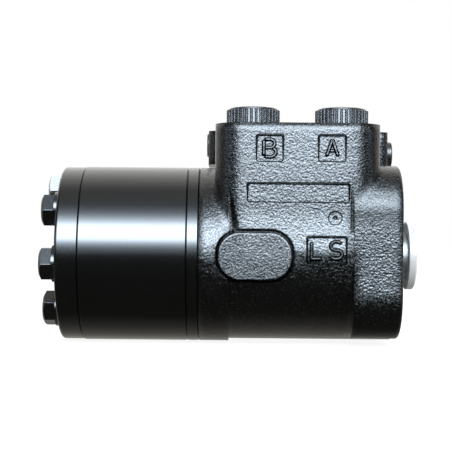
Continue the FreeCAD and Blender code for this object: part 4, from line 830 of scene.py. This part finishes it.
def floor_finish():
    """Plain pale paper: white to the camera, brownish grey where the paint mirrors it."""
    material = bpy.data.materials.new("pale_floor")
    material.use_nodes = True
    nodes = Nodes(material.node_tree)
    nodes.tree.nodes.clear()
    path = nodes.add("ShaderNodeLightPath").outputs
    seen = nodes.math("MAXIMUM", path["Is Camera Ray"], path["Is Transmission Ray"])
    along = nodes.parts(nodes.add("ShaderNodeTexCoord").outputs["Object"])[1]
    behind = nodes.span(along, *MIRROR_RISE, FLOOR_NEAR, FLOOR_MIRRORED)
    mirrored = nodes.math("MULTIPLY", path["Is Glossy Ray"], behind)
    strength = nodes.math("MULTIPLY_ADD", seen, FLOOR_WHITE, mirrored)
    tone = nodes.blend(path["Is Glossy Ray"], WHITE, FLOOR_TONE)
    emission = nodes.add("ShaderNodeEmission", {"Color": tone, "Strength": strength})
    lit = nodes.blend(path["Is Glossy Ray"], FLOOR_PAPER, BLACK)
    paper = nodes.add("ShaderNodeBsdfDiffuse", {"Color": lit})
    both = nodes.add("ShaderNodeAddShader", {0: emission.outputs[0], 1: paper.outputs[0]})
    nodes.feed(nodes.add("ShaderNodeOutputMaterial"), "Surface", both.outputs[0])
    return material


def make_stage():
    """A flat floor just below the unit."""
    around = ((-1, -1), (1, -1), (1, 1), (-1, 1))
    corners = [(x * FLOOR_REACH, y * FLOOR_REACH, FLOOR_LEVEL) for x, y in around]
    mesh = bpy.data.meshes.new("floor")
    mesh.from_pydata(corners, [], [(0, 1, 2, 3)])
    mesh.materials.append(floor_finish())
    sheet = bpy.data.objects.new("floor", mesh)
    bpy.context.scene.collection.objects.link(sheet)


# What the paint mirrors: radiance against the angle from the front (0) over the top (90) to the
# back (180), and below (negative). The bright band is the window in front of the unit.
SKY = (
    (-180, 0.5), (-120, 0.25), (-90, 0.02), (-14, 0.06), (-7, 0.2), (1, 0.9), (9, 3.4), (15, 14.0),
    (19, 36.0), (37, 36.0), (43, 16.0), (51, 5.5), (59, 2.2), (67, 1.0), (90, 0.7), (101, 1.05),
    (113, 1.5), (129, 1.8), (150, 1.6), (180, 0.9))
SKY_PEAK = 36.0
WINDOW_COLOUR = (0.74, 0.87, 1.0, 1)
ROOM_COLOUR = (1.0, 0.99, 0.97, 1)
WINDOW_TOP = (60, 85)
AMBIENT = 0.8

# The window fades to SIDE_SHARE over these parts of a direction along X, and behind the unit
# the room keeps at least BACK_SHARE over these parts along Y.
WINDOW_SIDES = (0.3, 0.62)
SIDE_SHARE = 0.07
BACK_RISE = (0.0, 0.5)
BACK_SHARE = 0.7


def make_world():
    """White to the camera; the paint mirrors a dark room with a bright window in front."""
    world = bpy.data.worlds.new("studio")
    bpy.context.scene.world = world
    world.cycles.sampling_method = "NONE"
    world.use_nodes = True
    nodes = Nodes(world.node_tree)
    nodes.tree.nodes.clear()
    path = nodes.add("ShaderNodeLightPath").outputs
    parts = nodes.parts(nodes.add("ShaderNodeTexCoord").outputs["Generated"])
    angle = nodes.math("ARCTAN2", parts[2], nodes.math("MULTIPLY", parts[1], -1.0))
    ramp = nodes.add("ShaderNodeValToRGB", {0: nodes.math("MULTIPLY_ADD", angle, 1 / TURN, 0.5)})
    stops = ramp.color_ramp.elements
    while len(stops) < len(SKY):
        stops.new(0.5)
    for stop, (degrees, radiance) in zip(stops, SKY):
        stop.position = degrees / 360 + 0.5
        share = radiance / SKY_PEAK
        stop.color = (share, share, share, 1)
    centred = nodes.span(nodes.math("ABSOLUTE", parts[0]), *WINDOW_SIDES, 1.0, SIDE_SHARE)
    centred = nodes.math("MAXIMUM", centred, nodes.span(parts[1], *BACK_RISE, 0.0, BACK_SHARE))
    room = nodes.math("MULTIPLY", nodes.math("MULTIPLY", ramp.outputs[0], SKY_PEAK), centred)
    seen = nodes.math("MAXIMUM", path["Is Camera Ray"], path["Is Transmission Ray"])
    strength = nodes.add("ShaderNodeMix", {0: path["Is Glossy Ray"], 2: AMBIENT, 3: room}).outputs[0]
    strength = nodes.add("ShaderNodeMix", {0: seen, 2: strength, 3: 1.0}).outputs[0]
    height = nodes.span(angle, math.radians(WINDOW_TOP[0]), math.radians(WINDOW_TOP[1]))
    mirrored = nodes.blend(height, WINDOW_COLOUR, ROOM_COLOUR)
    tone = nodes.blend(path["Is Glossy Ray"], WHITE, mirrored)
    background = nodes.add("ShaderNodeBackground", {"Color": tone, "Strength": strength})
    nodes.feed(nodes.add("ShaderNodeOutputWorld"), "Surface", background.outputs[0])


# Soft boxes that light the pale parts: distance in metres, elevation and azimuth in degrees,
# size in metres and power in watts.
SOFT_BOXES = (
    ("front", 1.2, 30, 10, 0.8, 7.0),
    ("back", 1.2, 45, 170, 0.8, 4.0),
    ("right", 1.2, 20, 70, 0.8, 4.0))
LIGHT_AIM = Vector((-90, 0, 0)) * MM


def make_lights():
    """The soft boxes, which the gloss doesn't mirror."""
    for name, distance, elevation, azimuth, size, power in SOFT_BOXES:
        data = bpy.data.lights.new(name, "AREA")
        data.size = size
        data.energy = power
        up, around = math.radians(elevation), math.radians(azimuth)
        away = Vector((math.sin(around) * math.cos(up), -math.cos(around) * math.cos(up), math.sin(up)))
        lamp = bpy.data.objects.new(name, data)
        lamp.location = LIGHT_AIM + away * distance
        lamp.rotation_euler = away.to_track_quat("Z", "Y").to_euler()
        lamp.visible_glossy = False
        bpy.context.scene.collection.objects.link(lamp)


bpy.context.scene.view_settings.view_transform = "Standard"
make_camera()
dress_nodes()
make_port_marks()
make_casting_marks()
turn_bolt_heads()
make_stage()
make_world()
make_lights()
